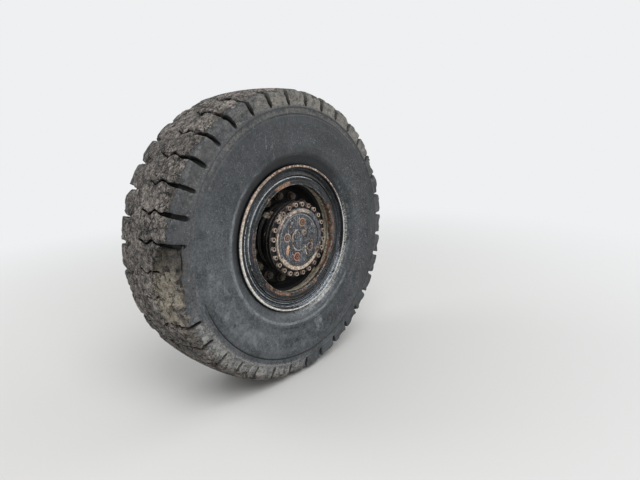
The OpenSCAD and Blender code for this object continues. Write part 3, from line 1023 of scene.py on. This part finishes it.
@dataclass
class SolidTyre:
    """The solid tyre: ribbed flanks and lugs parted by slots that turn to zigzag cuts.

    Its mesh has a ring of vertices for each row of the section, and on each ring a set of columns for
    each lug. The first two columns of a lug lie on the slot's floor.
    """

    place: WheelPlace
    lugs: int = 36
    slot_phase: float = 0.2
    lug_foot: float = 0.648
    spacing: float = 0.0092
    coarser: int = 7
    least_gap: float = 0.0008
    bevel: float = 0.0024
    crease: float = 38.0
    columns: int = 15
    near_columns: tuple[float, ...] = (0.0, 0.30, 0.85)
    slot_half_width: float = 0.0078
    cut_half_width: float = 0.0026
    slot_edge: float = 0.0022
    cut_depth: float = 0.027
    slots_end: float = 0.224
    pressed_at: float = -128.0
    crumbled_at: float = -142.0
    inner_slots_start: float = 0.280
    fill_above: float = 0.7
    fill_ahead: tuple[float, ...] = (0.10, 0.22)
    drifts: tuple[Point, ...] = ((0.0, 0.0), (0.090, -0.2), (0.132, -1.2), (0.172, 0.7), (0.222, -0.9),
                                 (0.280, 0.5), (0.338, 3.0), (0.386, 2.1))
    tears: tuple[Tear, ...] = (
        Tear(170.7, 181.0, 0.08, 0.62, 1.0, 0.014),
        Tear(179.0, 191.2, 0.12, 0.76, 0.95, 0.010),
        Tear(190.6, 199.6, 0.26, 0.76, 0.60, 0.006),
        Tear(200.6, 207.0, 0.24, 0.52, 0.34),
        Tear(118.0, 123.5, 0.30, 0.54, 0.3),
        Tear(151.0, 156.0, 0.30, 0.52, 0.3),
        Tear(61.0, 67.0, 0.22, 0.46, 0.35),
        Tear(24.0, 29.0, 0.20, 0.45, 0.3),
        Tear(-46.0, -41.0, 0.25, 0.45, 0.3),
        Tear(-106.0, -100.5, 0.24, 0.50, 0.35),
        Tear(-131.0, -126.0, 0.24, 0.46, 0.3),
    )
    rows: list[Row] = field(default_factory=list)

    @property
    def pitch(self) -> float:
        """Degrees from one lug to the next."""
        return 360 / self.lugs

    def half_section(self) -> list[Point]:
        """The section from the outer bead seat to the middle of the tread.

        Returns:
            Its corners as (radius, depth).
        """
        tip, side = self.place.tip_radius, self.place.side_depth
        return [
            (0.3182, 0.0337), (0.3550, 0.0338), (0.3682, 0.0206), (0.3730, 0.0150), (0.3900, 0.0090),
            (0.4160, -0.0060), (0.4270, side + 0.0030), (0.4330, side), (0.4560, side + 0.0012),
            (0.4600, side + 0.0004), (0.4640, side + 0.0012), (0.5610, side + 0.0012),
            (0.5650, side + 0.0004), (0.5690, side + 0.0012), (0.5980, side + 0.0004),
            (0.6030, side + 0.0006), (0.6060, side + 0.0052), (0.6105, side + 0.0062), (0.6360, -0.0095),
            (0.6400, -0.0125), (0.6450, -0.0115), (0.6500, -0.0060), (tip - 0.042, 0.0022),
            (tip - 0.023, 0.0072), (tip - 0.011, 0.0380), (tip - 0.0045, 0.0960), (tip - 0.0012, 0.1500),
            (tip - 0.0004, self.place.rim_width / 2),
        ]

    def slot_floor(self) -> list[Point]:
        """The bottom line of a slot, from the lug's foot on the flank to its end in the tread.

        Returns:
            Its corners as (radius, depth).
        """
        tip = self.place.tip_radius
        low = tip - self.cut_depth
        return [(self.lug_foot, -0.0065), (0.655, 0.010), (0.673, 0.030), (0.692, 0.056),
                (low - 0.006, 0.096), (low, 0.132), (low, self.slots_end - 0.012),
                (tip - 0.001, self.slots_end)]

    def scoop_line(self) -> list[Point]:
        """The bottom line of a deep tear in the outer shoulder.

        Returns:
            Its corners as (radius, depth).
        """
        tip = self.place.tip_radius
        return [(self.lug_foot, -0.0065), (0.656, 0.012), (0.672, 0.032), (0.688, 0.066), (0.704, 0.110),
                (0.722, 0.160), (tip - 0.001, self.slots_end)]

    def slot_width(self, depth: float) -> float:
        """Half width of a slot: wide over the shoulder and narrow across the tread."""
        narrow = smooth(0.050, 0.096, depth)
        return self.slot_half_width * (1 - narrow) + self.cut_half_width * narrow

    def build_rows(self) -> None:
        """Works out every ring of the mesh from the section."""
        width = self.place.rim_width
        half = self.half_section()
        other = [(radius, width - depth) for radius, depth in half[-2::-1]]
        bore = [(0.3113, 0.3130), (0.2972, 0.3015), (0.2972, 0.1140), (0.3113, 0.1120)]
        outline = bevelled(half + other + bore, self.bevel)
        points = self._graded(outline + outline[:1])
        front = self._range(points, lambda depth: depth < self.slots_end)
        back = self._range(points, lambda depth: depth > self.inner_slots_start)
        reach = self._lengths(points)
        stretch = (width - self.inner_slots_start) / self.slots_end
        for index, here in enumerate(points):
            before, after = points[index - 1], points[(index + 1) % len(points)]
            along = (after[0] - before[0], after[1] - before[1])
            size = math.hypot(*along) or 1.0
            share = (reach[index] - reach[front[0]]) / (reach[front[1]] - reach[front[0]])
            back_share = (reach[back[1]] - reach[index]) / (reach[back[1]] - reach[back[0]])
            floor, scoop, cut = here, here, False
            if 0 < share < 1:
                floor, cut = polyline_at(self.slot_floor(), share), True
                scoop = polyline_at(self.scoop_line(), share)
            elif 0 < back_share < 1:
                radius, depth = polyline_at(self.slot_floor(), back_share)
                floor, cut = (radius, width - depth * stretch), True
            depth_in = min(here[1], width - here[1])
            opening = 0.35 + 0.65 * smooth(0.0, 0.022, here[0] - self.lug_foot)
            self.rows.append(Row(
                surface=here, floor=floor, scoop=scoop, inward=(-along[1] / size, along[0] / size),
                slot_depth=math.dist(here, floor) if cut else 0.0,
                half_width=self.slot_width(depth_in) * opening,
                drift=table_at(self.drifts, here[1]), tread=smooth(0.694, 0.722, here[0]),
                crumbled=smooth(0.006, 0.058, depth_in) if here[0] > self.lug_foot + 0.05 else 0.0,
                share=share if 0 < share < 1 else -1.0))

    def _graded(self, closed: Sequence[Point]) -> list[Point]:
        """Spreads points along the outline, close over the lugs and wide elsewhere.

        Args:
            closed: The outline's corners, the first one again at the end.

        Returns:
            The points.
        """
        kept = [closed[0]]
        for a, b in zip(closed, closed[1:]):
            on_lugs = min(a[0], b[0]) > self.lug_foot - 0.004
            step = self.spacing if on_lugs else self.spacing * self.coarser
            parts = max(1, round(math.dist(a, b) / step))
            for part in range(parts):
                point = (a[0] + (b[0] - a[0]) * part / parts, a[1] + (b[1] - a[1]) * part / parts)
                if math.dist(point, kept[-1]) > self.least_gap:
                    kept.append(point)
        return kept

    @staticmethod
    def _lengths(points: Sequence[Point]) -> list[float]:
        """Length of the outline up to each point.

        Args:
            points: The points.

        Returns:
            The lengths.
        """
        made = [0.0]
        for a, b in zip(points, points[1:]):
            made.append(made[-1] + math.dist(a, b))
        return made

    def _range(self, points: Sequence[Point], inside: Callable[[float], bool]) -> tuple[int, int]:
        """First and last row over the lugs whose depth is inside."""
        chosen = [i for i, (radius, depth) in enumerate(points) if radius > self.lug_foot and inside(depth)]
        return chosen[0], chosen[-1]

    def column_offsets(self, row: Row) -> list[float]:
        """Spreads the columns of one pitch over a row.

        Args:
            row: The row.

        Returns:
            Degrees from the slot's middle to each column.
        """
        degree = math.degrees(1 / row.surface[0])
        half = row.half_width * degree
        lip = half + self.slot_edge * degree
        near = [lip + gap for gap in self.near_columns]
        wide = self.pitch - 2 * near[-1]
        count = self.columns - 2 - 2 * len(near)
        middle = [near[-1] + wide * (k + 1) / (count + 1) for k in range(count)]
        return [-half, half, *near, *middle, *(self.pitch - offset for offset in reversed(near))]

    def build(self) -> bpy.types.Object:
        """Spins the section and shapes the lugs.

        Returns:
            The tyre.
        """
        self.build_rows()
        mesh = bmesh.new()
        row_layer = mesh.verts.layers.int.new("row")
        ring = [mesh.verts.new((row.surface[0], row.surface[1], 0)) for row in self.rows]
        for index, vertex in enumerate(ring):
            vertex[row_layer] = index
        edges = [mesh.edges.new(pair) for pair in zip(ring, ring[1:] + ring[:1])]
        steps = self.lugs * self.columns
        bmesh.ops.spin(mesh, geom=ring + edges, cent=(0, 0, 0), axis=(0, -1, 0), dvec=(0, 0, 0),
                       angle=2 * math.pi, steps=steps, use_merge=True, use_duplicate=False)
        layers = {name: mesh.verts.layers.float.new(name) for name in TYRE_LAYERS}
        offsets = [self.column_offsets(row) for row in self.rows]
        for vertex in mesh.verts:
            column = round(math.atan2(vertex.co.z, vertex.co.x) / (2 * math.pi) * steps) % steps
            row = vertex[row_layer]
            self._shape(vertex, column, offsets[row], self.rows[row], layers)
        bmesh.ops.recalc_face_normals(mesh, faces=mesh.faces)
        for face in mesh.faces:
            face.smooth = True
        for edge in mesh.edges:
            edge.smooth = edge.calc_face_angle(0.0) < math.radians(self.crease)
        return new_object("tyre_rubber", mesh)

    def _turn(self, column: int, offsets: Sequence[float], row: Row) -> float:
        """Angle of a column in a row, with the cuts' waver and their uneven width.

        Args:
            column: The column, counted round the tyre.
            offsets: Degrees of the columns of a pitch in the row.
            row: The row.

        Returns:
            Degrees from +X towards +Z.
        """
        lug, step = divmod(column, self.columns)
        angle = self.slot_phase + lug * self.pitch + offsets[step] + row.drift
        if row.slot_depth <= 0:
            return angle
        depth = row.surface[1]
        across = offsets[step] / self.pitch
        cut = 1 - smooth(0.003, 0.006, row.half_width)
        closing = max(0.0, math.cos(math.radians(angle - self.pressed_at))) ** 3
        for slot, nearness, side in ((lug, 1 - across, 1.0), (lug + 1, across, -1.0)):
            near = max(0.0, nearness) ** 3
            key = Vector((slot % self.lugs * 3.17, depth * 26, 0.5))
            angle += near * (0.10 + 0.32 * cut) * noise.noise(key)
            wide = 0.30 + 0.6 * noise.noise(key * 1.9 + Vector((0, 0, 9.1))) - 0.70 * closing
            half = math.degrees(row.half_width / row.surface[0])
            angle += side * near * near * wide * half * (-1.0 if step == 0 else 1.0)
        return angle

    def _bite(self, row: Row, step: int, lug: int, place: Vector) -> float:
        """How far wear and chips have eaten into the surface.

        Args:
            row: The row.
            step: The column within its pitch.
            lug: The lug.
            place: The point.

        Returns:
            The depth of what is gone.
        """
        near = min(abs(step - 1.5), abs(self.columns + 0.5 - step)) / 2.2
        edge = math.exp(-near * near)
        rub = 0.5 + 0.5 * noise.noise(place * 7.0)
        lump = noise.fractal(place * 21.0, 0.8, 2.1, 3)
        fine = noise.noise(place * 78.0)
        rough = 0.3 * row.tread + 0.7 * row.crumbled
        bite = rough * (0.0030 * rub - 0.0016 + 0.0090 * lump + 0.0026 * fine)
        if row.slot_depth > 0:
            ragged = max(0.0, noise.noise(place * 33.0 + Vector((lug, 0, 0))) + 0.35)
            bite += edge * (0.0012 + rough * (0.0036 + 0.0100 * ragged) + 0.0030 * ragged)
        side = smooth(0.655, 0.680, row.surface[0]) * (1 - row.crumbled)
        bite += side * 0.0100 * max(0.0, noise.fractal(place * 24.0, 0.8, 2.0, 2) - 0.05)
        depth_in = min(row.surface[1], self.place.rim_width - row.surface[1])
        corner = smooth(0.690, 0.716, row.surface[0]) * (1 - smooth(0.02, 0.09, depth_in))
        bite += corner * 0.026 * max(0.0, noise.noise(place * 17.0 + Vector((7.7, 1.3, 0))) - 0.02)
        return max(0.0, bite)

    def _shape(self, vertex: bmesh.types.BMVert, column: int, offsets: Sequence[float], row: Row,
               layers: dict) -> None:
        """Moves one vertex to its place on a lug, in a slot or in a tear.

        Args:
            vertex: The vertex, on the plain ring.
            column: Its column round the tyre.
            offsets: Degrees of the columns of a pitch in its row.
            row: Its row.
            layers: The attribute layers to fill.
        """
        lug, step = divmod(column, self.columns)
        angle = self._turn(column, offsets, row)
        radius, depth = row.surface
        place = self.place.point(radius, angle, depth)
        slot, torn, fold_shade = 0.0, 0.0, 0.0
        if step < 2 and row.slot_depth > 0:
            radius, depth = row.floor
            # where the material paints shade on the slot floors
            slot = smooth(0.002, 0.010, row.slot_depth)
        elif row.tread > 0 or row.slot_depth > 0:
            bite = self._bite(row, step, lug, place)
            radius, depth = radius + row.inward[0] * bite, depth + row.inward[1] * bite
        if 0 < row.share < 1:
            strength = self._tear(angle, row.share, place)
            ahead = max(self._tear(angle, row.share + off, place) for off in self.fill_ahead)
            filled = step < 2 and ahead > self.fill_above
            scooped = toward(row.surface, row.scoop, strength)
            deeper = math.dist(scooped, row.surface) > math.dist((radius, depth), row.surface)
            if filled or (strength > 0.02 and deeper):
                rough = 0.0060 * noise.fractal(place * 28.0, 0.8, 2.0, 3)
                fold = noise.noise(Vector((angle * 0.11, row.share * 8.0, 5.1)))
                ridge = 0.060 * max(0.0, 0.28 - abs(fold)) * strength
                # painted shade along the folds of the tears, kept in the ridge attribute
                fold_shade = (1 - smooth(0.02, 0.12, abs(fold - 0.26))) * strength
                proud = rough - ridge
                radius = min(scooped[0] + proud * row.inward[0], row.surface[0])
                depth = scooped[1] + proud * row.inward[1]
                slot = 0.0 if filled else slot * (1 - smooth(0.1, 0.5, strength))
                torn = smooth(0.10, 0.35, strength)
        vertex.co = self.place.point(radius, angle, depth)
        reach = smooth(0.55, 0.92, math.cos(math.radians(angle - self.crumbled_at)))
        tread = min(1.0, row.crumbled + 0.5 * reach * smooth(0.674, 0.700, row.surface[0]))
        for name, value in zip(TYRE_LAYERS, (tread, slot, torn, fold_shade)):
            vertex[layers[name]] = value

    def _tear(self, angle: float, share: float, place: Vector) -> float:
        """How deep the tears go at a point.

        Args:
            angle: Direction of the point.
            share: Share of the way along the slot.
            place: The point.

        Returns:
            Share of the way from the surface to the scoop line.
        """
        deepest = 0.0
        wobble = noise.noise(place * 13.0)
        slip = 0.10 * noise.noise(place * 15.0 + Vector((4.0, 0, 0)))
        for tear in self.tears:
            middle, reach = (tear.first + tear.last) / 2, (tear.last - tear.first) / 2
            off = (angle - middle + 180) % 360 - 180
            if abs(off) > reach + 2:
                continue
            side = 1 - smooth(reach - 0.5, reach + 0.4, abs(off) + 0.4 * wobble)
            end = tear.end + tear.slope * off
            begun = smooth(tear.start, tear.start + 0.05, share + 0.7 * slip)
            ends = begun * (1 - smooth(end - 0.10, end, share + slip))
            deepest = max(deepest, tear.strength * side * ends * (0.92 + 0.08 * wobble))
        return deepest

    def dress(self, effects: Effects) -> bpy.types.Object:
        """Builds the tyre, gives it its rubber and puts it on the wheel.

        Args:
            effects: The shared groups.

        Returns:
            The tyre.
        """
        piece = self.build()
        piece.data.materials.append(RubberFinish().material(effects))
        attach(piece, Body.WHEEL.value)
        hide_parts("tyre")
        return piece


def new_object(name: str, mesh: bmesh.types.BMesh) -> bpy.types.Object:
    """Makes an object of a finished bmesh and frees the bmesh.

    Args:
        name: Name of the object.
        mesh: The bmesh.

    Returns:
        The object, linked to the scene.
    """
    data = bpy.data.meshes.new(name)
    mesh.to_mesh(data)
    mesh.free()
    piece = bpy.data.objects.new(name, data)
    bpy.context.scene.collection.objects.link(piece)
    return piece


def paint_nodes(effects: Effects, finish: PaintFinish | SteelFinish, *names: str) -> None:
    """Gives CAD nodes a finish.

    Args:
        effects: The shared groups.
        finish: The finish.
        *names: Names of the nodes.
    """
    material = finish.material(effects)
    for name in names:
        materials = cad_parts[name].data.materials
        materials.clear()
        materials.append(material)
        LOG.info("%s: %s", name, finish.name)


@dataclass(frozen=True)
class Rim:
    """Finishes of the rim's rings, its base and the disc."""

    black: Tone = (9, 11, 13)
    faded: Tone = (34, 41, 48)
    # painted glints: highlights of light on the rings
    glint: Tone = (176, 184, 192)
    pale_rust: Tone = (206, 186, 168)
    rust: Tone = (156, 122, 100)
    brown: Tone = (104, 78, 64)
    worn: Tone = (236, 236, 230)
    base_edge: float = 0.0106

    def dress(self, effects: Effects) -> None:
        """Gives every rim node its finish.

        Args:
            effects: The shared groups.
        """
        ring = PaintFinish("side_ring_paint", self.black, self.faded, rust_amount=0.22, rough=0.34,
                           speckled=0.7, sheen=0.28, dust_amount=0.22, marks=self._ring_marks())
        lock = replace(ring, name="lock_ring_paint", rust_amount=0.26, marks=(
            # painted glints on the lock ring's upper left and lower arcs
            Patch(0.3112, 0.0036, (184, 190, 194), 0.017, 0.010, 128, 120, 0.34, 60, metallic=0.4),
            Patch(0.3112, 0.0036, (160, 162, 160), 0.017, 0.010, -80, 150, 0.45, 60, metallic=0.4)))
        base = replace(ring, name="rim_paint", faded=(44, 50, 56), rust_amount=0.24, rough=0.36,
                       speckled=0.55, marks=self._base_marks())
        # black paint, darker still as painted shade deep inside the rim
        disc = PaintFinish("disc_paint", (7, 7, 8), (16, 16, 16), rust_amount=0.15, dust_amount=0.08,
                           scratched=0.0, sheen=0.15, edge_amount=0.2)
        paint_nodes(effects, ring, "side_ring_outer", "side_ring_inner")
        paint_nodes(effects, lock, "lock_ring")
        paint_nodes(effects, base, "rim_base", "bead_seat_band")
        paint_nodes(effects, disc, "wheel_disc")

    def _ring_marks(self) -> tuple[Patch, ...]:
        """Marks on the side rings: a brown scuff and painted glints on their slope, painted glints in thin
        bright lines, and rust on their lips, with bare steel and a painted highlight on the lower lip.

        Returns:
            The marks.
        """
        slope = (0.02, 0.04)
        return (
            # painted glints speckled over the lower slope
            Patch(0.3450, 0.0170, self.glint, *slope, -90, 200, 0.57, 130),
            Patch(0.3500, 0.0200, (92, 76, 66), 0.01, 0.03, 170, 90, 0.55, 70),
            # painted glints in thin bright lines along the rings
            Patch(0.3310, 0.0024, self.glint, *slope, -100, 220, 0.38, 60),
            Patch(0.3420, 0.0014, self.glint, *slope, -80, 150, 0.40, 60),
            Patch(0.3490, 0.0020, self.glint, *slope, -90, 190, 0.42, 60),
            Patch(0.3630, 0.0090, self.brown, 0.0, 0.012, 120, 600, 0.45, 50),
            Patch(0.3640, 0.0075, self.pale_rust, 0.0, 0.010, 105, 200, 0.46, 80),
            Patch(0.3630, 0.0095, self.pale_rust, 0.0, 0.012, 178, 120, 0.41, 60),
            # worn bare steel on the lower lip, and a painted highlight in its bright colour
            Patch(0.3645, 0.0072, self.worn, 0.0, 0.012, -82, 230, 0.38, 80, metallic=0.3, mottle=0.4),
            # painted highlight along the curve of the flange
            Patch(0.3560, 0.0038, self.glint, *slope, -60, 80, 0.44, 44, metallic=0.3, mottle=0.3),
            Patch(0.3660, 0.0038, self.worn, 0.0, 0.010, 10, 130, 0.47, 80, metallic=0.3),
            Patch(0.3500, 0.0260, self.brown, 0.420, 0.030, 0, 600, 0.52, 34),
            Patch(0.3630, 0.0095, self.pale_rust, 0.426, 0.012, 20, 600, 0.45, 40),
        )

    def _base_marks(self) -> tuple[Patch, ...]:
        """Dirt and rust in the rim's base and on its edge, and a painted shadow in the base at the lower
        right.

        Returns:
            The marks.
        """
        bore = (0.2780, 0.0300)
        edge = (self.base_edge, 0.014)
        return (
            Patch(*bore, (214, 204, 182), 0.110, 0.100, 14, 200, 0.24, 16, 0.25),
            Patch(*bore, (204, 192, 170), 0.080, 0.070, -64, 90, 0.32, 24, 0.25),
            Patch(*bore, (132, 98, 78), 0.024, 0.024, -6, 90, 0.42, 34, 0.16),
            Patch(*bore, (24, 22, 21), 0.034, 0.030, -10, 80, 0.51, 40, 0.12),
            # painted shadow in the gap between the drum and the wall at the lower right
            Patch(*bore, (10, 10, 10), 0.110, 0.070, -38, 18, 0.22, 40, 0.10),
            Patch(*bore, (164, 118, 92), 0.022, 0.018, 24, 80, 0.50, 55),
            Patch(*bore, (146, 108, 88), 0.022, 0.018, -38, 60, 0.50, 55),
            Patch(0.2840, 0.0140, self.rust, *edge, 104, 22, 0.42, 55),
            Patch(0.2840, 0.0120, self.rust, *edge, -121, 46, 0.45, 55),
            Patch(0.2800, 0.0120, self.rust, *edge, -77, 40, 0.48, 55),
            Patch(0.2830, 0.0110, (126, 98, 88), *edge, 176, 34, 0.47, 70),
            Patch(0.2850, 0.0120, self.rust, *edge, 8, 46, 0.48, 60),
            Patch(0.2740, 0.0030, (176, 172, 164), *edge, 0, 600, 0.49, 60),
        )


@dataclass(frozen=True)
class Hub:
    """Finishes of the hub, with the circles of its screws and pins and its plugs' radius and direction."""

    screw_circle: float = 0.1760
    pin_circle: float = 0.0870
    high_plug: Point = (0.042, 51)
    low_plug: Point = (0.136, -33)
    face: Zone = (-0.016, 0.02)
    steel: Tone = (214, 214, 210)
    beige: Tone = (216, 196, 176)
    rust: Tone = (156, 116, 94)

    def dress(self, effects: Effects) -> None:
        """Gives every hub node its finish.

        Args:
            effects: The shared groups.
        """
        drum_marks = (Patch(self.screw_circle, 0.0160, (104, 82, 68), -0.004, 0.02, 100, 110, 0.50, 60),
                      Patch(0.1700, 0.0200, (120, 112, 98), 0.05, 0.06, -20, 50, 0.46, 30),
                      Spot(0.1710, 129, 0.0, 0.0150, (186, 176, 158), 0.34))
        drum = PaintFinish("hub_paint", (10, 10, 11), (30, 28, 27), rust_amount=0.26, rust_scale=30.0,
                           dust_amount=0.12, scratched=0.2, sheen=0.25, marks=drum_marks)
        cover = PaintFinish("cover_paint", (21, 25, 31), (62, 69, 78), rust_amount=0.32, rust_scale=34.0,
                            scratched=0.80, scratch=(200, 202, 202), speckled=0.7, rough=0.36,
                            marks=(*self._cover_patches(), *self._cover_spots()))
        screws = SteelFinish("screw_steel", (190, 172, 158), (104, 82, 70), 0.38, 0.55, 0.25,
                             edge=(232, 222, 210), edge_amount=0.8,
                             sockets=(Sockets(self.screw_circle, 3.4, 24, 0.0068),))
        plugs = SteelFinish("plug_steel", (158, 136, 118), (84, 68, 58), 0.45, 0.65, 0.2, sockets=(
            Sockets(self.pin_circle, 73, 4, 0.0048), Sockets(*self.high_plug, 1, 0.0058),
            Sockets(*self.low_plug, 1, 0.0055), Sockets(self.pin_circle, -37, 1, 0.0040)))
        # dull steel, darkened as painted shade deep inside the rim
        nuts = SteelFinish("nut_steel", (86, 76, 66), (44, 38, 34), 0.35, 0.6, 0.2, edge=(120, 108, 94))
        paint_nodes(effects, drum, "hub_drum", "hub_end_plate")
        paint_nodes(effects, cover, "hub_cover")
        paint_nodes(effects, screws, "cover_screws")
        paint_nodes(effects, plugs, "pin_plugs", "oil_plugs")
        paint_nodes(effects, nuts, "wheel_nuts", "wheel_studs")

    def _cover_patches(self) -> tuple[Patch, ...]:
        """Scuffs over the cover's face and arcs rubbed bare on its steps.

        Returns:
            The marks.
        """
        disc = (0.0700, 0.0800)
        dome = (-0.012, 0.03)
        return (
            Patch(*disc, (214, 210, 204), *dome, 0, 900, 0.575, 54, 0.05, mottle=0.2),
            Patch(*disc, (176, 138, 112), *dome, 40, 900, 0.56, 40, 0.08),
            Patch(*disc, (4, 5, 6), *dome, 200, 900, 0.515, 62, 0.06, mottle=0.0),
            Patch(0.1455, 0.0110, self.beige, *self.face, -98, 110, 0.36, 60),
            Patch(0.1455, 0.0110, self.beige, *self.face, 88, 70, 0.44, 60),
            Patch(0.1540, 0.0045, self.beige, *self.face, 170, 130, 0.44, 70),
            Patch(0.1455, 0.0100, self.rust, *self.face, 0, 600, 0.53, 60),
            Patch(0.1270, 0.0026, (180, 182, 182), -0.010, 0.02, 108, 160, 0.39, 60, mottle=0.3),
            Patch(0.0550, 0.0024, self.steel, *self.face, -98, 110, 0.34, 60, mottle=0.3),
            Patch(0.0550, 0.0024, (172, 154, 140), *self.face, 136, 80, 0.40, 60, mottle=0.3),
        )

    def _cover_spots(self) -> list[Spot]:
        """The pins' rings and cores, a rusty streak, a pale nick and the rings of the oil plugs.

        Returns:
            The marks.
        """
        spots = []
        for direction, rim, core, breakup in (
                (73, (182, 154, 132), (116, 78, 52), 0.36),
                (163, (196, 178, 170), (112, 88, 76), 0.38),
                (253, (194, 142, 126), (104, 58, 48), 0.34),
                (343, (130, 122, 116), (84, 68, 60), 0.52),
                (-37, (176, 162, 154), (70, 60, 56), 0.40)):
            spots.append(Spot(self.pin_circle, direction, 0.0175, 0.0215, rim, breakup, mottle=0.3))
            spots.append(Spot(self.pin_circle, direction, 0.0, 0.0150, core, 0.36, mottle=0.3))
        for radius, direction in ((0.084, -166), (0.089, -161), (0.095, -156), (0.102, -151)):
            spots.append(Spot(radius, direction, 0.0, 0.0085, (214, 174, 146), 0.37, mottle=0.4))
        for radius, direction in ((0.072, -60), (0.080, -61), (0.088, -62), (0.096, -63)):
            spots.append(Spot(radius, direction, 0.0, 0.0032, (206, 190, 178), 0.34, mottle=0.3))
        spots.append(Spot(*self.high_plug, 0.0085, 0.0135, (176, 168, 160), 0.32))
        spots.append(Spot(*self.low_plug, 0.0080, 0.0135, (156, 136, 120), 0.38))
        return spots


@dataclass(frozen=True)
class AxleEnd:
    """Finishes of the axle arm, the brake housing and what turns in them."""

    bolting_face: float

    def dress(self, effects: Effects) -> None:
        """Gives every axle node its finish.

        Args:
            effects: The shared groups.
        """
        face = self.bolting_face
        marks = (Patch(0.15, 0.22, (158, 155, 149), face, 0.003, 0, 900, 0.26, 14, 0.20, 0.5, 0.18),
                 Patch(0.15, 0.16, (146, 108, 84), face, 0.003, 0, 900, 0.55, 18, 0.16, mottle=0.3),
                 Patch(0.12, 0.14, (120, 86, 66), face - 0.20, 0.20, -90, 200, 0.52, 18))
        arm = PaintFinish("axle_paint", (26, 27, 29), (62, 61, 59), dust=(134, 126, 111), dust_amount=0.62,
                          rust_amount=0.36, rust_scale=16.0, edge_amount=0.7, speckled=0.4, marks=marks)
        seal = PaintFinish("seal_rubber", (28, 28, 28), (44, 44, 43), rust_amount=0.0, edge_amount=0.0,
                           rough=0.7)
        bright = SteelFinish("bare_steel", (128, 126, 122), (84, 80, 76), 0.25, 0.38, 0.85)
        dull = SteelFinish("rusty_steel", (140, 124, 110), (78, 66, 58), 0.5, 0.6, 0.4)
        paint_nodes(effects, arm, "axle_arm", "brake_housing")
        paint_nodes(effects, bright, "spindle", "half_shaft", "shaft_bush", "face_seal")
        paint_nodes(effects, dull, "housing_bolts", "brake_fittings", "axle_breather")
        paint_nodes(effects, seal, "shaft_seal")


@dataclass(frozen=True)
class PhotoCamera:
    """The camera, where the photographer stood. Its angles are degrees."""

    location: Place = (-1.727, -2.394, 0.620)
    heading: float = -47.12
    down: float = 14.40
    roll: float = -3.18
    lens: float = 28.457
    sensor: float = 36.0
    sight: float = 60.0

    def build(self) -> None:
        """Makes the scene's camera."""
        data = bpy.data.cameras.new("photo_camera")
        data.sensor_width = self.sensor
        data.lens = self.lens
        data.clip_end = self.sight
        camera = bpy.data.objects.new("photo_camera", data)
        matrix = Matrix.Translation(self.location)
        for angle, axis in ((self.heading, "Z"), (90 - self.down, "X"), (self.roll, "Z")):
            matrix = matrix @ Matrix.Rotation(math.radians(angle), 4, axis)
        camera.matrix_world = matrix
        bpy.context.scene.collection.objects.link(camera)
        bpy.context.scene.camera = camera


@dataclass(frozen=True)
class Lamp:
    """A square lamp: where it hangs, the point that it lights, its side and its power in watts."""

    name: str
    at: Place
    to: Place
    size: float
    power: float

    def build(self) -> None:
        """Hangs the lamp."""
        data = bpy.data.lights.new(self.name, "AREA")
        data.shape = "SQUARE"
        data.size = self.size
        data.energy = self.power
        lamp = bpy.data.objects.new(self.name, data)
        lamp.location = self.at
        lamp.rotation_mode = "QUATERNION"
        lamp.rotation_quaternion = (Vector(self.to) - Vector(self.at)).to_track_quat("-Z", "Y")
        bpy.context.scene.collection.objects.link(lamp)


@dataclass(frozen=True)
class Studio:
    """A pale floor, a soft sky and large lamps."""

    floor_z: float
    floor_size: float = 30.0
    floor_colour: Colour = (0.62, 0.62, 0.61, 1.0)
    floor_rough: float = 0.85
    fade_start: float = 1.2
    fade_end: float = 4.5
    sky: Colour = (1.0, 1.0, 1.0, 1.0)
    sky_strength: float = 0.62
    backdrop: Colour = (0.86, 0.87, 0.88, 1.0)
    lamps: tuple[Lamp, ...] = (
        Lamp("key_lamp", (-1.6, -3.6, 4.2), (0.0, -0.5, -0.1), 3.4, 190.0),
        Lamp("side_lamp", (4.2, -2.2, 2.2), (0.0, -0.4, 0.0), 3.0, 45.0),
        Lamp("back_lamp", (-2.6, 3.6, 3.0), (0.0, -0.2, 0.0), 3.0, 90.0),
    )

    def build(self) -> None:
        """Makes the floor, the sky and the lamps."""
        mesh = bmesh.new()
        bmesh.ops.create_grid(mesh, x_segments=1, y_segments=1, size=self.floor_size / 2,
                              matrix=Matrix.Translation((0, 0, self.floor_z)))
        floor = new_object("floor", mesh)
        floor.data.materials.append(self._floor_material())
        floor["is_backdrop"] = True
        self._sky()
        for lamp in self.lamps:
            lamp.build()

    def _floor_material(self) -> Material:
        """A pale matt floor that fades into the backdrop's colour as it runs away from the wheel.

        Returns:
            The material.
        """
        material = bpy.data.materials.new("pale_floor")
        material.use_nodes = True
        graph = Graph(material.node_tree)
        matt = graph.value("BsdfPrincipled", {"Base Color": self.floor_colour, "Roughness": self.floor_rough})
        glow = graph.value("Emission", {"Color": self.backdrop, "Strength": 1.0})
        far = graph.vector("LENGTH", graph.value("TexCoord", output="Object"), output="Value")
        share = graph.seen() * graph.step(far, self.fade_start, self.fade_end)
        graph.add("OutputMaterial", {"Surface": graph.value("MixShader", {0: share, 1: matt, 2: glow})})
        return material

    def _sky(self) -> None:
        """Makes a soft sky that shows pale to the camera and in reflections."""
        world = bpy.data.worlds.new("studio_sky")
        world.use_nodes = True
        graph = Graph(world.node_tree)
        light = graph.value("Background", {"Color": self.sky, "Strength": self.sky_strength})
        shown = graph.value("Background", {"Color": self.backdrop, "Strength": 1.0})
        graph.add("OutputWorld", {"Surface": graph.value("MixShader", {0: graph.seen(), 1: light, 2: shown})})
        bpy.context.scene.world = world


def main() -> None:
    """Builds the camera, the studio and the wheel."""
    logging.basicConfig(level=logging.INFO, format="%(name)s: %(message)s")
    cad_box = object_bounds()
    place = WheelPlace.from_frame()
    PhotoCamera().build()
    Studio(floor_z=cad_box[0].z).build()
    bpy.context.scene.view_settings.view_transform = "Standard"
    effects = Effects(place.lip_y)
    tyre = SolidTyre(place).dress(effects)
    LOG.info("tyre: %d faces", len(tyre.data.polygons))
    Rim().dress(effects)
    Hub().dress(effects)
    AxleEnd(bolting_face=-place.lip_y).dress(effects)


if __name__ == "__main__":
    main()
